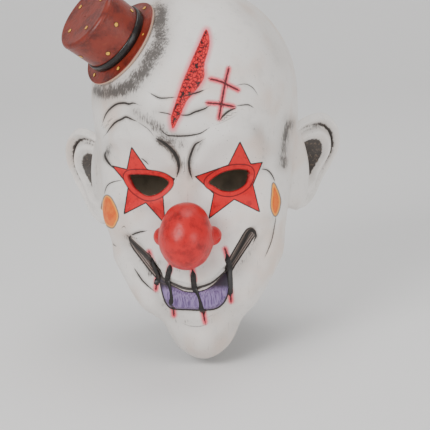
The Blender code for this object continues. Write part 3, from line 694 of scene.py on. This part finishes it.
def ear(name, side, look):
    """A dished plate bounded by EAR_EDGES. Its front is a sum of bells along the way from middle to edge, each
    covering some degrees about the ear; its back is a smooth bulge."""
    around = 220
    rings = 110
    angle = np.arange(around) / around * 360
    table = np.array(EAR_EDGES)
    column = table[:, 1 if side > 0 else 2]
    wide = np.concatenate((column, column, column))
    degrees = np.concatenate((table[:, 0] - 360, table[:, 0], table[:, 0] + 360))
    soft = sum(np.interp(angle + shift, degrees, wide) for shift in np.linspace(-9, 9, 7)) / 7
    edge = soft * EAR_HEIGHT
    share = np.arange(1, rings + 1) / rings
    front = np.zeros((rings, around))
    for form, along, width, millimetres, middle, reach in EAR_FORMS:
        away = np.abs((angle - middle + 180) % 360 - 180)
        wander = along + 0.02 * np.sin(np.radians(angle * 3 + 40))
        bell = np.exp(-((share[:, None] - wander[None, :]) / width) ** 2)
        front += millimetres * 0.001 * bell * np.exp(-(away / reach) ** 2)[None, :]
    fall = np.sqrt(np.clip(1 - (np.clip(share - 0.93, 0, 1) / 0.07) ** 2, 0, 1))[:, None]
    front = front * fall - 0.5 * EAR_WALL * (1 - fall)
    rear = -(EAR_WALL + EAR_BULGE * (1 - share ** 2))[:, None] * np.ones(around) * fall - 0.5 * EAR_WALL * (1 - fall)
    back_out = np.array((side * math.sin(EAR_FLARE), math.cos(EAR_FLARE), 0.0))
    facing = np.array((side * math.cos(EAR_FLARE), -math.sin(EAR_FLARE), 0.0))
    root = EAR_AT * SCALE * (side, 1, 1) + (0.0, 0.0, EYE_LINE + side * EAR_UNEVEN)
    turn = np.radians(angle)[:, None]
    flat = (np.cos(turn) * back_out + np.sin(turn) * (0.0, 0.0, 1.0)) * edge[:, None]
    front_rings = root + share[:, None, None] * flat + front[:, :, None] * facing
    rear_rings = root + share[::-1, None, None] * flat + rear[::-1, :, None] * facing
    first = root + facing * -0.0095
    points = np.vstack((first, front_rings.reshape(-1, 3), rear_rings[1:].reshape(-1, 3)))
    cap, quads = fan_grid(around, 2 * rings - 1)
    if side < 0:
        cap, quads = cap[:, ::-1], quads[:, ::-1]
    # Where the front lies below its blurred self, and how deep the bowl is: the ear's look darkens both, as paint and
    # painted shade.
    blurred = front.copy()
    for _ in range(14):
        blurred[1:-1] = (blurred[:-2] + blurred[2:]) / 2
        blurred = (np.roll(blurred, 1, 1) + np.roll(blurred, -1, 1)) / 2
    hollow = np.clip((blurred - front) / 0.0008, -1, 1)
    bowl = np.clip((-front - 0.0012) / 0.003, 0, 1)
    inner = np.clip(1 - share / 0.62, 0, 1)[:, None] * np.ones(around)
    rear_none = np.zeros((rings - 1) * around)
    values = {"hollow": np.concatenate(((0,), hollow.ravel(), rear_none)),
              "bowl": np.concatenate(((1,), np.maximum(bowl, 0.0 * inner).ravel(), rear_none))}
    return new_piece(name, points, (cap, quads), look, [name], values)


def nose(look):
    """The bulb and its wings: ellipsoids melted together about the bulb's middle, open at the back."""
    middle = on_plane([NOSE_AT], EYE_PLANE - NOSE_AHEAD)[0]
    half = np.array((NOSE_WIDE, NOSE_DEEP, NOSE_TALL)) / 2
    around = 150
    rings = 110
    turn = np.arange(around) / around * 2 * math.pi
    polar = np.arange(1, rings + 1) / rings * math.radians(150)
    grid = np.stack(np.broadcast_arrays(np.sin(polar)[:, None] * np.cos(turn), -np.cos(polar)[:, None],
                                        np.sin(polar)[:, None] * np.sin(turn)), axis=-1).reshape(-1, 3)
    directions = np.vstack(((0.0, -1.0, 0.0), grid))

    def distance(points):
        found = None
        for name, across, ahead, up, wide, deep, tall, melt, hand in NOSE_FORMS:
            outside = ellipsoid_distance(points, middle + half * (across, -ahead, up), half * (wide, deep, tall))
            width = melt * half[0]
            if found is None:
                found = outside
            elif hand > 0:
                found = melt_together(found, outside, width)
            else:
                found = -melt_together(-found, outside, width)
        return found

    radius = outermost(directions, middle, distance, 2 * half[1])
    dents = sum(np.sin(directions @ np.array(wave) + phase) for wave, phase in
                (((9, 3, 5), 0.3), ((-4, 8, 7), 1.9), ((6, -5, 9), 4.0))) / 3
    points = middle + directions * (radius + 0.0003 * dents)[:, None]
    cap, quads = fan_grid(around, rings)
    return new_piece("nose", points, (cap, quads), look, ["nose"])


def stitch(number, drawn, look):
    """A flat strap drawn tight over the lips: a rounded section carried along the skin, its ends sunk in."""
    places = eased(drawn, steps=16)
    lying, outward = skin_at(places)
    radius = np.linalg.norm(lying - HEART, axis=1)
    taut = radius.copy()
    for _ in range(60):
        taut[1:-1] = (taut[:-2] + taut[2:]) / 2
    middle = HEART + outward * np.maximum(radius, taut)[:, None]
    share = np.linspace(0, 1, len(places))
    ends = np.clip(np.minimum(share, 1 - share) / 0.12, 0, 1)
    ends = ends * ends * (3 - 2 * ends)
    middle = middle + outward * (STITCH_THICK * (0.75 * ends - 0.6))[:, None]
    run = np.gradient(middle, axis=0)
    run /= np.linalg.norm(run, axis=1)[:, None]
    across = np.cross(run, outward)
    across /= np.linalg.norm(across, axis=1)[:, None]
    around = 20
    turn = np.arange(around) / around * 2 * math.pi
    round_x = np.sign(np.cos(turn)) * np.abs(np.cos(turn)) ** 0.6 * STITCH_WIDE / 2
    round_z = np.sign(np.sin(turn)) * np.abs(np.sin(turn)) ** 0.6 * STITCH_THICK / 2
    slim = (0.72 + 0.28 * ends)[:, None, None]
    rings = middle[:, None] + (across[:, None] * round_x[None, :, None] + outward[:, None] * round_z[None, :, None]) * slim
    return new_piece("stitch_%d" % number, rings.reshape(-1, 3), (tube_grid(len(places), around)[:, ::-1],), look,
                     ["stitch_%d" % number])


def hat_matrix():
    """Local Z along the hat's axis, and the origin HAT_SINK below the scalp."""
    seat = Vector(skin_at([HAT_AT])[0][0]) - HAT_AXIS * HAT_SINK
    return Matrix.Translation(seat) @ HAT_AXIS.to_track_quat("Z", "Y").to_matrix().to_4x4()


def placed(points, matrix):
    """Points in a piece's own axes, carried to their place."""
    turn = np.array(matrix.to_3x3())
    return points @ turn.T + np.array(matrix.translation)


def turned(profile, around, wobble=0.0):
    """Rings of a profile of (radius, height) turned about Z, its radius wavering a little with the angle."""
    profile = np.array(profile)
    turn = np.arange(around) / around * 2 * math.pi
    radius = profile[:, :1] * (1 + wobble * np.sin(3 * turn + 1.0) + 0.5 * wobble * np.sin(5 * turn + 2.2))
    height = np.broadcast_to(profile[:, 1:], radius.shape)
    return np.stack((radius * np.cos(turn), radius * np.sin(turn), height), axis=-1)


def arc(middle, radius, start, end, count):
    """Points of a profile's round corner, its angles in degrees."""
    angle = np.radians(np.linspace(start, end, count))
    return np.stack((middle[0] + radius * np.cos(angle), middle[1] + radius * np.sin(angle)), axis=1)


def side_radius(height):
    """The crown's outer radius at a height: it swells towards the top."""
    share = np.clip(height / HAT_HEIGHT, 0, 1)
    return HAT_BASE / 2 + (HAT_TOP - HAT_BASE) / 2 * share ** 1.3


def brim_height(radius):
    """The brim's upper face: it droops from the crown outwards and turns up again at its edge."""
    share = np.clip((radius - HAT_BASE / 2) / ((BRIM_ACROSS - HAT_BASE) / 2), 0, 1)
    return BRIM_THICK / 2 - BRIM_DROOP * share + 0.0012 * share ** 4


def hat(crown_look, band_look, dot_look, matrix):
    foot = -0.002
    heights = np.linspace(foot, HAT_HEIGHT - HAT_ROUND, 24)
    side = np.stack((side_radius(heights), heights), axis=1)
    top = HAT_TOP / 2
    corner = arc((top - HAT_ROUND, HAT_HEIGHT - HAT_ROUND), HAT_ROUND, 5, 90, 8)
    flat = np.stack((np.linspace(top - HAT_ROUND - 0.002, 0.0006, 16), np.full(16, HAT_HEIGHT)), axis=1)
    flat[:, 1] -= 0.0010 * (1 - (flat[:, 0] / top) ** 2)
    profile = np.vstack((side, corner, flat))
    rings = turned(profile, 120, 0.006)
    crown = new_piece("hat_crown", placed(rings.reshape(-1, 3), matrix), (tube_grid(len(profile), 120)[:, ::-1],),
                      crown_look, ["hat_crown"])
    inner = HAT_BASE / 2 - 0.004
    outer = BRIM_ACROSS / 2
    reach = np.linspace(inner, outer - BRIM_THICK / 2, 22)
    upper = np.stack((reach, brim_height(reach)), axis=1)
    edge = arc((outer - BRIM_THICK / 2, brim_height(outer) - BRIM_THICK / 2), BRIM_THICK / 2, 80, -80, 9)
    lower = np.stack((reach[::-1], brim_height(reach[::-1]) - BRIM_THICK), axis=1)
    profile = np.vstack((upper, edge, lower))
    rings = turned(profile, 160, 0.008)
    turn = np.arctan2(rings[..., 1], rings[..., 0])
    share = np.clip((np.hypot(rings[..., 0], rings[..., 1]) - HAT_BASE / 2) / (outer - HAT_BASE / 2), 0, 1)
    rings[..., 2] += 0.0010 * share * np.sin(2 * turn + 0.6)
    under = np.zeros(rings.shape[:2])
    under[len(upper) + 3:] = 1.0
    brim = new_piece("hat_brim", placed(rings.reshape(-1, 3), matrix), (tube_grid(len(profile), 160),), crown_look,
                     ["hat_brim"], {"under": under.ravel()})
    low = BRIM_THICK / 2
    heights = np.linspace(low, low + BAND_TALL, 10)
    swell = BAND_THICK * (0.55 + 0.45 * np.sin(math.pi * np.linspace(0, 1, 10)) ** 0.5)
    outside = np.stack((side_radius(heights) + 0.0002 + swell, heights), axis=1)
    inside = np.stack((side_radius(heights[::-1]) - 0.0004, heights[::-1]), axis=1)
    profile = np.vstack((outside, inside, outside[:1]))
    rings = turned(profile, 120, 0.006)
    band = new_piece("hat_band", placed(rings.reshape(-1, 3), matrix), (tube_grid(len(profile), 120)[:, ::-1],),
                     band_look, ["hat_band"])
    points, faces, ring = [], [], []
    around = 20
    shells = 6
    turn = np.arange(around) / around * 2 * math.pi
    out = (np.arange(1, shells + 1) / shells)
    for number, (where, degrees, along, size) in enumerate(DOTS):
        disc_x = np.concatenate(((0.0,), (out[:, None] * np.cos(turn)).ravel())) * size / 2
        disc_y = np.concatenate(((0.0,), (out[:, None] * np.sin(turn)).ravel())) * size / 2
        lift = 0.0004 * np.sqrt(np.clip(1 - np.concatenate(((0.0,), np.repeat(out, around))) ** 2, 0, 1)) + 0.00015
        angle = math.radians(degrees)
        if where == "side":
            height = along * HAT_HEIGHT + disc_y
            bend = angle + disc_x / side_radius(height)
            radius = side_radius(height) * (1 + 0.006 * np.sin(3 * bend + 1.0) + 0.003 * np.sin(5 * bend + 2.2)) + lift
            local = np.stack((radius * np.cos(bend), radius * np.sin(bend), height), axis=1)
        else:
            middle = along * HAT_TOP / 2 if where == "top" else HAT_BASE / 2 + along * (BRIM_ACROSS - HAT_BASE) / 2
            x = middle * math.cos(angle) + disc_x
            y = middle * math.sin(angle) + disc_y
            reach = np.hypot(x, y)
            level = HAT_HEIGHT - 0.0010 * (1 - (reach / (HAT_TOP / 2)) ** 2) if where == "top" else brim_height(reach)
            local = np.stack((x, y, level + lift), axis=1)
        cap, quads = fan_grid(around, shells)
        start = number * (1 + around * shells)
        points.append(placed(local, matrix))
        faces += [cap + start, quads + start]
        ring.append(np.concatenate(((0.0,), np.repeat(out, around))))
    dots = new_piece("hat_dots", np.vstack(points), faces, dot_look, [], {"ring": np.concatenate(ring)})
    return crown, brim, band, dots


def node(tree, kind, inputs=None, **settings):
    """Adds a shader node, sets its properties, and fills its sockets with values or with other nodes' outputs."""
    made = tree.nodes.new("ShaderNode" + kind)
    for name, value in settings.items():
        setattr(made, name, value)
    for name, value in (inputs or {}).items():
        socket = made.inputs[name]
        if isinstance(value, bpy.types.NodeSocket):
            tree.links.new(value, socket)
        else:
            socket.default_value = value
    return made


def field(tree, name):
    return node(tree, "Attribute", attribute_name=name).outputs["Fac"]


def maths(tree, operation, first, second=0.0):
    return node(tree, "Math", {0: first, 1: second}, operation=operation).outputs[0]


def step(tree, value, start, end):
    """Nought up to start and one from end on, easing between; start may be the greater."""
    made = node(tree, "MapRange", {"Value": value, "From Min": start, "From Max": end}, interpolation_type="SMOOTHSTEP")
    return made.outputs["Result"]


def layer(tree, below, above, share, blend="MIX"):
    """A coat of one colour over another."""
    made = node(tree, "Mix", data_type="RGBA", blend_type=blend, clamp_factor=True)
    for socket, value in ((made.inputs[0], share), (made.inputs[6], below), (made.inputs[7], above)):
        if isinstance(value, bpy.types.NodeSocket):
            tree.links.new(value, socket)
        else:
            socket.default_value = value
    return made.outputs[2]


def noise(tree, size, detail=3.0, stretch=(1, 1, 1), rough=0.55):
    """Cloudy noise in the object's own axes; size is in metres."""
    where = node(tree, "TexCoord").outputs["Object"]
    scaled = node(tree, "Mapping", {"Vector": where, "Scale": tuple(1 / (size * part) for part in stretch)})
    made = node(tree, "TexNoise", {"Vector": scaled.outputs[0], "Scale": 1.0, "Detail": detail, "Roughness": rough})
    return made.outputs["Fac"]


def cells(tree, size, feature="DISTANCE_TO_EDGE"):
    where = node(tree, "TexCoord").outputs["Object"]
    scaled = node(tree, "Mapping", {"Vector": where, "Scale": (1 / size, 1 / size, 1 / size)})
    made = node(tree, "TexVoronoi", {"Vector": scaled.outputs[0], "Scale": 1.0}, feature=feature)
    return made.outputs["Distance"]


def new_look(name):
    made = bpy.data.materials.new(name)
    made.use_nodes = True
    tree = made.node_tree
    return made, tree, tree.nodes["Principled BSDF"]


def finish_look(tree, shader, colour, roughness, height=None, strength=0.3, distance=0.0004):
    tree.links.new(colour, shader.inputs["Base Color"])
    if isinstance(roughness, bpy.types.NodeSocket):
        tree.links.new(roughness, shader.inputs["Roughness"])
    else:
        shader.inputs["Roughness"].default_value = roughness
    if height is not None:
        bump = node(tree, "Bump", {"Height": height, "Strength": strength, "Distance": distance})
        tree.links.new(bump.outputs[0], shader.inputs["Normal"])


def bare_latex(tree):
    """Off-white paint over latex: cool and warm clouds, fine vertical brushing, and dark specks in the pores."""
    clouds = noise(tree, 0.045, 2)
    colour = layer(tree, linear("#E9E4DF"), linear("#E3D2C6"), step(tree, clouds, 0.45, 0.75))
    colour = layer(tree, colour, linear("#CFCBC6"), maths(tree, "MULTIPLY", step(tree, noise(tree, 0.012, 3), 0.5, 0.8), 0.45))
    brushed = noise(tree, 0.0016, 2, (1, 1, 9))
    colour = layer(tree, colour, linear("#A69C93"), maths(tree, "MULTIPLY", step(tree, brushed, 0.62, 0.8), 0.35))
    specks = step(tree, noise(tree, 0.0022, 2), 0.70, 0.76)
    colour = layer(tree, colour, linear("#5A4F48"), maths(tree, "MULTIPLY", specks, 0.55))
    return colour, brushed


def coat_dirt_and_shade(tree, colour, dirt_and_shade):
    """Black-brown dirt paint and painted shade wiped over the latex: a soft grey wash, then near-black that stays in
    brush marks where it is thin and covers where it is thick."""
    streaks = noise(tree, 0.0028, 3, (0.5, 0.5, 2.5), 0.7)
    patches = noise(tree, 0.010, 3)
    amount = maths(tree, "ADD", maths(tree, "MULTIPLY", streaks, 0.6), maths(tree, "MULTIPLY", patches, 0.4))
    level = maths(tree, "ADD", amount, maths(tree, "MULTIPLY", dirt_and_shade, 0.55))
    # The grey wash and the near-black together are dirt paint and painted shade.
    colour = layer(tree, colour, linear("#8C8179"), maths(tree, "MULTIPLY", dirt_and_shade, 0.55))
    return layer(tree, colour, linear("#2B2420"), maths(tree, "MULTIPLY", step(tree, level, 0.80, 1.0), 0.85))


def painted_latex():
    """Head skin: off-white brushed latex with blackened creases, red stars, orange cheeks, a violet lip and raw
    red wounds."""
    made, tree, shader = new_look("painted_latex")
    colour, brushed = bare_latex(tree)
    # Dirt paint and painted shade: under the hat and nose, along the folds, before the ears and round the mouth and
    # lip.
    colour = coat_dirt_and_shade(tree, colour, field(tree, "dirt_and_shade"))
    jitter = maths(tree, "MULTIPLY", maths(tree, "SUBTRACT", noise(tree, 0.0016, 3), 0.5), 1.6)

    glow = step(tree, maths(tree, "ADD", field(tree, "wound"), jitter), 6.5, 0.5)
    colour = layer(tree, colour, linear("#F0516A"), maths(tree, "MULTIPLY", glow, 0.75))
    cut_far = field(tree, "cut_far")
    colour = layer(tree, colour, linear("#EE3350"), maths(tree, "MULTIPLY", step(tree, maths(tree, "ADD", cut_far, jitter), 5.0, 1.0), 0.9))

    spot = maths(tree, "ADD", field(tree, "spot"), maths(tree, "MULTIPLY", jitter, 0.4))
    orange = layer(tree, linear("#F0741A"), linear("#E2560C"), step(tree, noise(tree, 0.006, 3), 0.4, 0.7))
    colour = layer(tree, colour, linear("#3A2A1E"), maths(tree, "MULTIPLY", step(tree, spot, 1.5, 0.6), 0.8))
    colour = layer(tree, colour, linear("#F7A23C"), step(tree, spot, 0.3, -0.3))
    colour = layer(tree, colour, orange, step(tree, spot, -0.9, -1.8))

    star = maths(tree, "ADD", field(tree, "star"), maths(tree, "MULTIPLY", jitter, 0.3))
    reds = layer(tree, linear("#D8060E"), linear("#A80A10"), step(tree, noise(tree, 0.005, 3), 0.45, 0.75))
    reds = layer(tree, reds, linear("#E8606A"), maths(tree, "MULTIPLY", step(tree, noise(tree, 0.0012, 2, (1, 1, 3)), 0.66, 0.8), 0.6))
    colour = layer(tree, colour, linear("#17100E"), step(tree, star, 0.9, 0.3))
    colour = layer(tree, colour, reds, step(tree, star, -0.2, -0.9))

    hole = field(tree, "hole")
    colour = layer(tree, colour, reds, step(tree, hole, 5.5, 4.8))
    colour = layer(tree, colour, linear("#1A0C0A"), maths(tree, "MULTIPLY", step(tree, maths(tree, "ABSOLUTE", maths(tree, "SUBTRACT", hole, 5.2)), 0.8, 0.3), 0.8))
    colour = layer(tree, colour, linear("#7A0B0C"), maths(tree, "MULTIPLY", step(tree, hole, 1.6, 0.2), 0.8))

    corner = maths(tree, "ADD", field(tree, "corner"), maths(tree, "MULTIPLY", jitter, 0.5))
    stripes = node(tree, "Math", {0: maths(tree, "MULTIPLY", corner, 3.2)}, operation="SINE").outputs[0]
    browns = layer(tree, linear("#4A3E3A"), linear("#93857C"), step(tree, stripes, 0.2, 0.9))
    colour = layer(tree, colour, linear("#1B1412"), step(tree, corner, 0.9, 0.2))
    colour = layer(tree, colour, browns, step(tree, corner, -0.3, -1.0))

    lip = maths(tree, "ADD", field(tree, "lip"), maths(tree, "MULTIPLY", jitter, 0.5))
    ribs = noise(tree, 0.0022, 2, (0.5, 0.5, 6))
    violet = layer(tree, linear("#8C76A6"), linear("#5B4674"), step(tree, ribs, 0.42, 0.62))
    # Near-black violet at the top of the lip, under the mouth slit: black-violet paint and painted shade.
    violet = layer(tree, violet, linear("#2A1F30"), step(tree, field(tree, "down"), 292.0, 284.0))
    colour = layer(tree, colour, linear("#1B1418"), step(tree, lip, 0.8, 0.1))
    colour = layer(tree, colour, violet, step(tree, lip, -0.4, -1.2))

    wound = maths(tree, "ADD", field(tree, "wound"), jitter)
    crackle = step(tree, cells(tree, 0.0034), 0.10, 0.02)
    raw = layer(tree, linear("#E4141F"), linear("#1E0606"), crackle)
    raw = layer(tree, raw, linear("#2A0808"), step(tree, noise(tree, 0.004, 3), 0.52, 0.62))
    colour = layer(tree, colour, linear("#C60F1E"), step(tree, wound, 1.2, 0.2))
    colour = layer(tree, colour, raw, step(tree, wound, 0.2, -0.6))
    cut = maths(tree, "ABSOLUTE", field(tree, "cut"))
    thin = maths(tree, "MULTIPLY", step(tree, maths(tree, "ADD", cut, jitter), 1.3, 0.5), step(tree, cut_far, 4.0, 3.0))
    colour = layer(tree, colour, linear("#230607"), maths(tree, "MULTIPLY", thin, 0.92))

    side = maths(tree, "ABSOLUTE", field(tree, "crease"))
    wide = field(tree, "crease_wide")
    edge = maths(tree, "SUBTRACT", maths(tree, "ADD", side, maths(tree, "MULTIPLY", jitter, 0.5)), wide)
    near = step(tree, field(tree, "crease_far"), 5.0, 4.0)
    inked = maths(tree, "MULTIPLY", step(tree, edge, 0.45, -0.15), near)
    inked = maths(tree, "MULTIPLY", inked, step(tree, wide, 0.05, 0.3))
    shade = maths(tree, "MULTIPLY", step(tree, edge, 2.6, 0.0), near)
    shade = maths(tree, "MULTIPLY", shade, step(tree, wide, 0.05, 0.9))
    colour = layer(tree, colour, linear("#6A5E57"), maths(tree, "MULTIPLY", shade, 0.5))
    colour = layer(tree, colour, linear("#1D1714"), maths(tree, "MULTIPLY", inked, 0.95))

    height = maths(tree, "ADD", maths(tree, "MULTIPLY", brushed, 0.4), maths(tree, "MULTIPLY", noise(tree, 0.004, 4), 0.6))
    finish_look(tree, shader, colour, 0.58, height, 0.35, 0.0005)
    return made


def ear_latex():
    """Ears: the same off-white latex, with dirt paint and painted shade in the hollows, dark brown paint and painted
    shade in the bowl and black paint and painted shade in the grooves.
    """
    made, tree, shader = new_look("ear_latex")
    colour, brushed = bare_latex(tree)
    hollow = field(tree, "hollow")
    bowl = field(tree, "bowl")
    rough = maths(tree, "MULTIPLY", maths(tree, "SUBTRACT", noise(tree, 0.003, 4, rough=0.7), 0.5), 0.9)
    # Dirt paint and painted shade where the surface lies below its blurred self.
    colour = coat_dirt_and_shade(tree, colour, step(tree, maths(tree, "ADD", hollow, rough), -0.2, 0.9))
    # Dark brown paint and painted shade in the deep bowl.
    dark = step(tree, maths(tree, "ADD", bowl, rough), 0.25, 0.6)
    browns = layer(tree, linear("#241A14"), linear("#6A5646"), step(tree, noise(tree, 0.0025, 4, rough=0.7), 0.5, 0.72))
    colour = layer(tree, colour, browns, maths(tree, "MULTIPLY", dark, 0.95))
    # Black paint and painted shade in the narrow grooves.
    groove = step(tree, maths(tree, "ADD", hollow, maths(tree, "MULTIPLY", rough, 0.4)), 0.55, 0.9)
    colour = layer(tree, colour, linear("#221A16"), maths(tree, "MULTIPLY", groove, 0.85))
    height = maths(tree, "ADD", maths(tree, "MULTIPLY", brushed, 0.4), maths(tree, "MULTIPLY", noise(tree, 0.003, 4), 0.6))
    finish_look(tree, shader, colour, 0.58, height, 0.4, 0.0006)
    return made


def inner_latex():
    """Lining: raw latex, dull and a little yellow, which reads as dark through the eye holes."""
    made, tree, shader = new_look("raw_latex")
    colour = layer(tree, linear("#8A7E6C"), linear("#6E6355"), step(tree, noise(tree, 0.02, 3), 0.4, 0.7))
    finish_look(tree, shader, colour, 0.7)
    return made


def red_latex():
    """Nose: semi-gloss red over latex, darker where it was rubbed, with painted highlights in lighter orange-red
    patches and a soft gloss highlight.
    """
    made, tree, shader = new_look("red_latex")
    colour = layer(tree, linear("#C90D12"), linear("#8E0A0C"), step(tree, noise(tree, 0.010, 4, rough=0.65), 0.45, 0.72))
    # Painted highlights: lighter orange-red patches over the red.
    colour = layer(tree, colour, linear("#E23A2C"), maths(tree, "MULTIPLY", step(tree, noise(tree, 0.005, 4, rough=0.7), 0.60, 0.78), 0.6))
    colour = layer(tree, colour, linear("#3E0606"), maths(tree, "MULTIPLY", step(tree, noise(tree, 0.0028, 3), 0.68, 0.76), 0.7))
    roughness = maths(tree, "ADD", 0.24, maths(tree, "MULTIPLY", noise(tree, 0.006, 3), 0.25))
    height = maths(tree, "ADD", noise(tree, 0.003, 4), maths(tree, "MULTIPLY", noise(tree, 0.012, 3), 1.5))
    finish_look(tree, shader, colour, roughness, height, 0.3, 0.0006)
    return made


def hat_latex():
    """Hat: satin red-brown in clouds, with lighter patches and dark specks, and pale beige on the underside of the
    brim."""
    made, tree, shader = new_look("hat_latex")
    colour = layer(tree, linear("#7E2B1C"), linear("#4E1610"), step(tree, noise(tree, 0.012, 4, rough=0.65), 0.42, 0.72))
    colour = layer(tree, colour, linear("#A34A30"), maths(tree, "MULTIPLY", step(tree, noise(tree, 0.006, 4), 0.58, 0.8), 0.5))
    colour = layer(tree, colour, linear("#1C0E0A"), maths(tree, "MULTIPLY", step(tree, noise(tree, 0.003, 3), 0.68, 0.76), 0.7))
    # Pale beige on the underside of the brim.
    colour = layer(tree, colour, linear("#D9B79C"), maths(tree, "MULTIPLY", field(tree, "under"), 0.7))
    height = maths(tree, "ADD", noise(tree, 0.004, 4), maths(tree, "MULTIPLY", noise(tree, 0.014, 3), 1.4))
    finish_look(tree, shader, colour, 0.38, height, 0.4, 0.0007)
    return made


def black_paint(name, rough):
    """Band and stitches: near-black satin paint with brown showing where it is thin."""
    made, tree, shader = new_look(name)
    colour = layer(tree, linear("#15110F"), linear("#3A2C26"), step(tree, noise(tree, 0.004, 4), 0.55, 0.8))
    height = noise(tree, 0.0016, 3, (1, 1, 3))
    finish_look(tree, shader, colour, rough, height, 0.4, 0.0004)
    return made


def dot_paint():
    """Hat dots: mustard yellow in a dark ring."""
    made, tree, shader = new_look("dot_paint")
    colour = layer(tree, linear("#EDB23F"), linear("#C98A2A"), step(tree, noise(tree, 0.0016, 3), 0.45, 0.7))
    ring = maths(tree, "ADD", field(tree, "ring"), maths(tree, "MULTIPLY", noise(tree, 0.001, 2), 0.1))
    colour = layer(tree, colour, linear("#2A120A"), step(tree, ring, 0.80, 0.88))
    finish_look(tree, shader, colour, 0.45)
    return made


def stage():
    """A pale floor under the chin that curves up into a backdrop, soft lights and the camera of the drawing."""
    right, above, back, viewer = sight_axes()
    ground = EYE_LINE - 0.53 * HEAD_HEIGHT
    depth = np.concatenate((np.linspace(-3, 1.2, 8), 1.2 + 0.8 * np.sin(np.linspace(0.1, 1.57, 12)), (2.0, 2.0)))
    rise = np.concatenate((np.zeros(8), 0.8 - 0.8 * np.cos(np.linspace(0.1, 1.57, 12)), (1.5, 4.0)))
    wide = np.linspace(-4, 4, 5)
    points = np.stack(np.broadcast_arrays(wide[:, None], depth, ground + rise), axis=-1).reshape(-1, 3)
    count = len(depth)
    rows = np.arange(4)[:, None] * count
    here = np.arange(count - 1)
    faces = np.stack((rows + here, rows + here + count, rows + here + count + 1, rows + here + 1), axis=-1)
    mesh = bpy.data.meshes.new("backdrop")
    mesh.from_pydata(points.tolist(), [], faces.reshape(-1, 4).tolist())
    mesh.shade_smooth()
    floor = bpy.data.objects.new("backdrop", mesh)
    bpy.context.scene.collection.objects.link(floor)
    made, tree, shader = new_look("pale_paper")
    shader.inputs["Base Color"].default_value = linear("#F4F3F2")
    shader.inputs["Roughness"].default_value = 0.9
    mesh.materials.append(made)

    world = bpy.data.worlds.new("studio")
    bpy.context.scene.world = world
    world.use_nodes = True
    world.node_tree.nodes["Background"].inputs[0].default_value = linear("#FFFFFF")
    world.node_tree.nodes["Background"].inputs[1].default_value = 0.55
    target = Vector((0, -0.02, EYE_LINE))
    for name, place, size, power in LIGHTS:
        light = bpy.data.lights.new(name, "AREA")
        light.shape = "DISK"
        light.size = size
        light.energy = power
        lamp = bpy.data.objects.new(name, light)
        lamp.location = target + Vector(place)
        lamp.rotation_euler = (-Vector(place)).to_track_quat("-Z", "Y").to_euler()
        bpy.context.scene.collection.objects.link(lamp)

    camera = bpy.data.objects.new("camera", bpy.data.cameras.new("camera"))
    bpy.context.scene.collection.objects.link(camera)
    placing = Matrix([list(right), list(above), list(back)]).transposed().to_4x4()
    placing.translation = Vector(EYES + viewer)
    camera.matrix_world = placing
    camera.data.sensor_width = FILM
    camera.data.lens = FILM * VIEW_DISTANCE / (2 * DRAWING_MIDDLE[0] * SIGHT)
    bpy.context.scene.camera = camera


LIGHTS = (
    # name    place from the eyes   size power
    ("key",  (-0.9, -1.6, 1.1),     1.0, 26),
    ("fill", (1.5, -1.3, 0.4),      1.2, 11),
    ("top",  (0.2, 0.3, 1.7),       1.2, 10),
)


def main():
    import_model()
    skin = painted_latex()
    black = black_paint("black_paint", 0.4)
    head_skin(skin)
    head_lining(inner_latex())
    flesh = ear_latex()
    ear("ear_left", 1, flesh)
    ear("ear_right", -1, flesh)
    nose(red_latex())
    for number, drawn in enumerate(STITCHES, 1):
        stitch(number, drawn, black)
    hat(hat_latex(), black_paint("band_paint", 0.3), dot_paint(), hat_matrix())
    stage()


main()
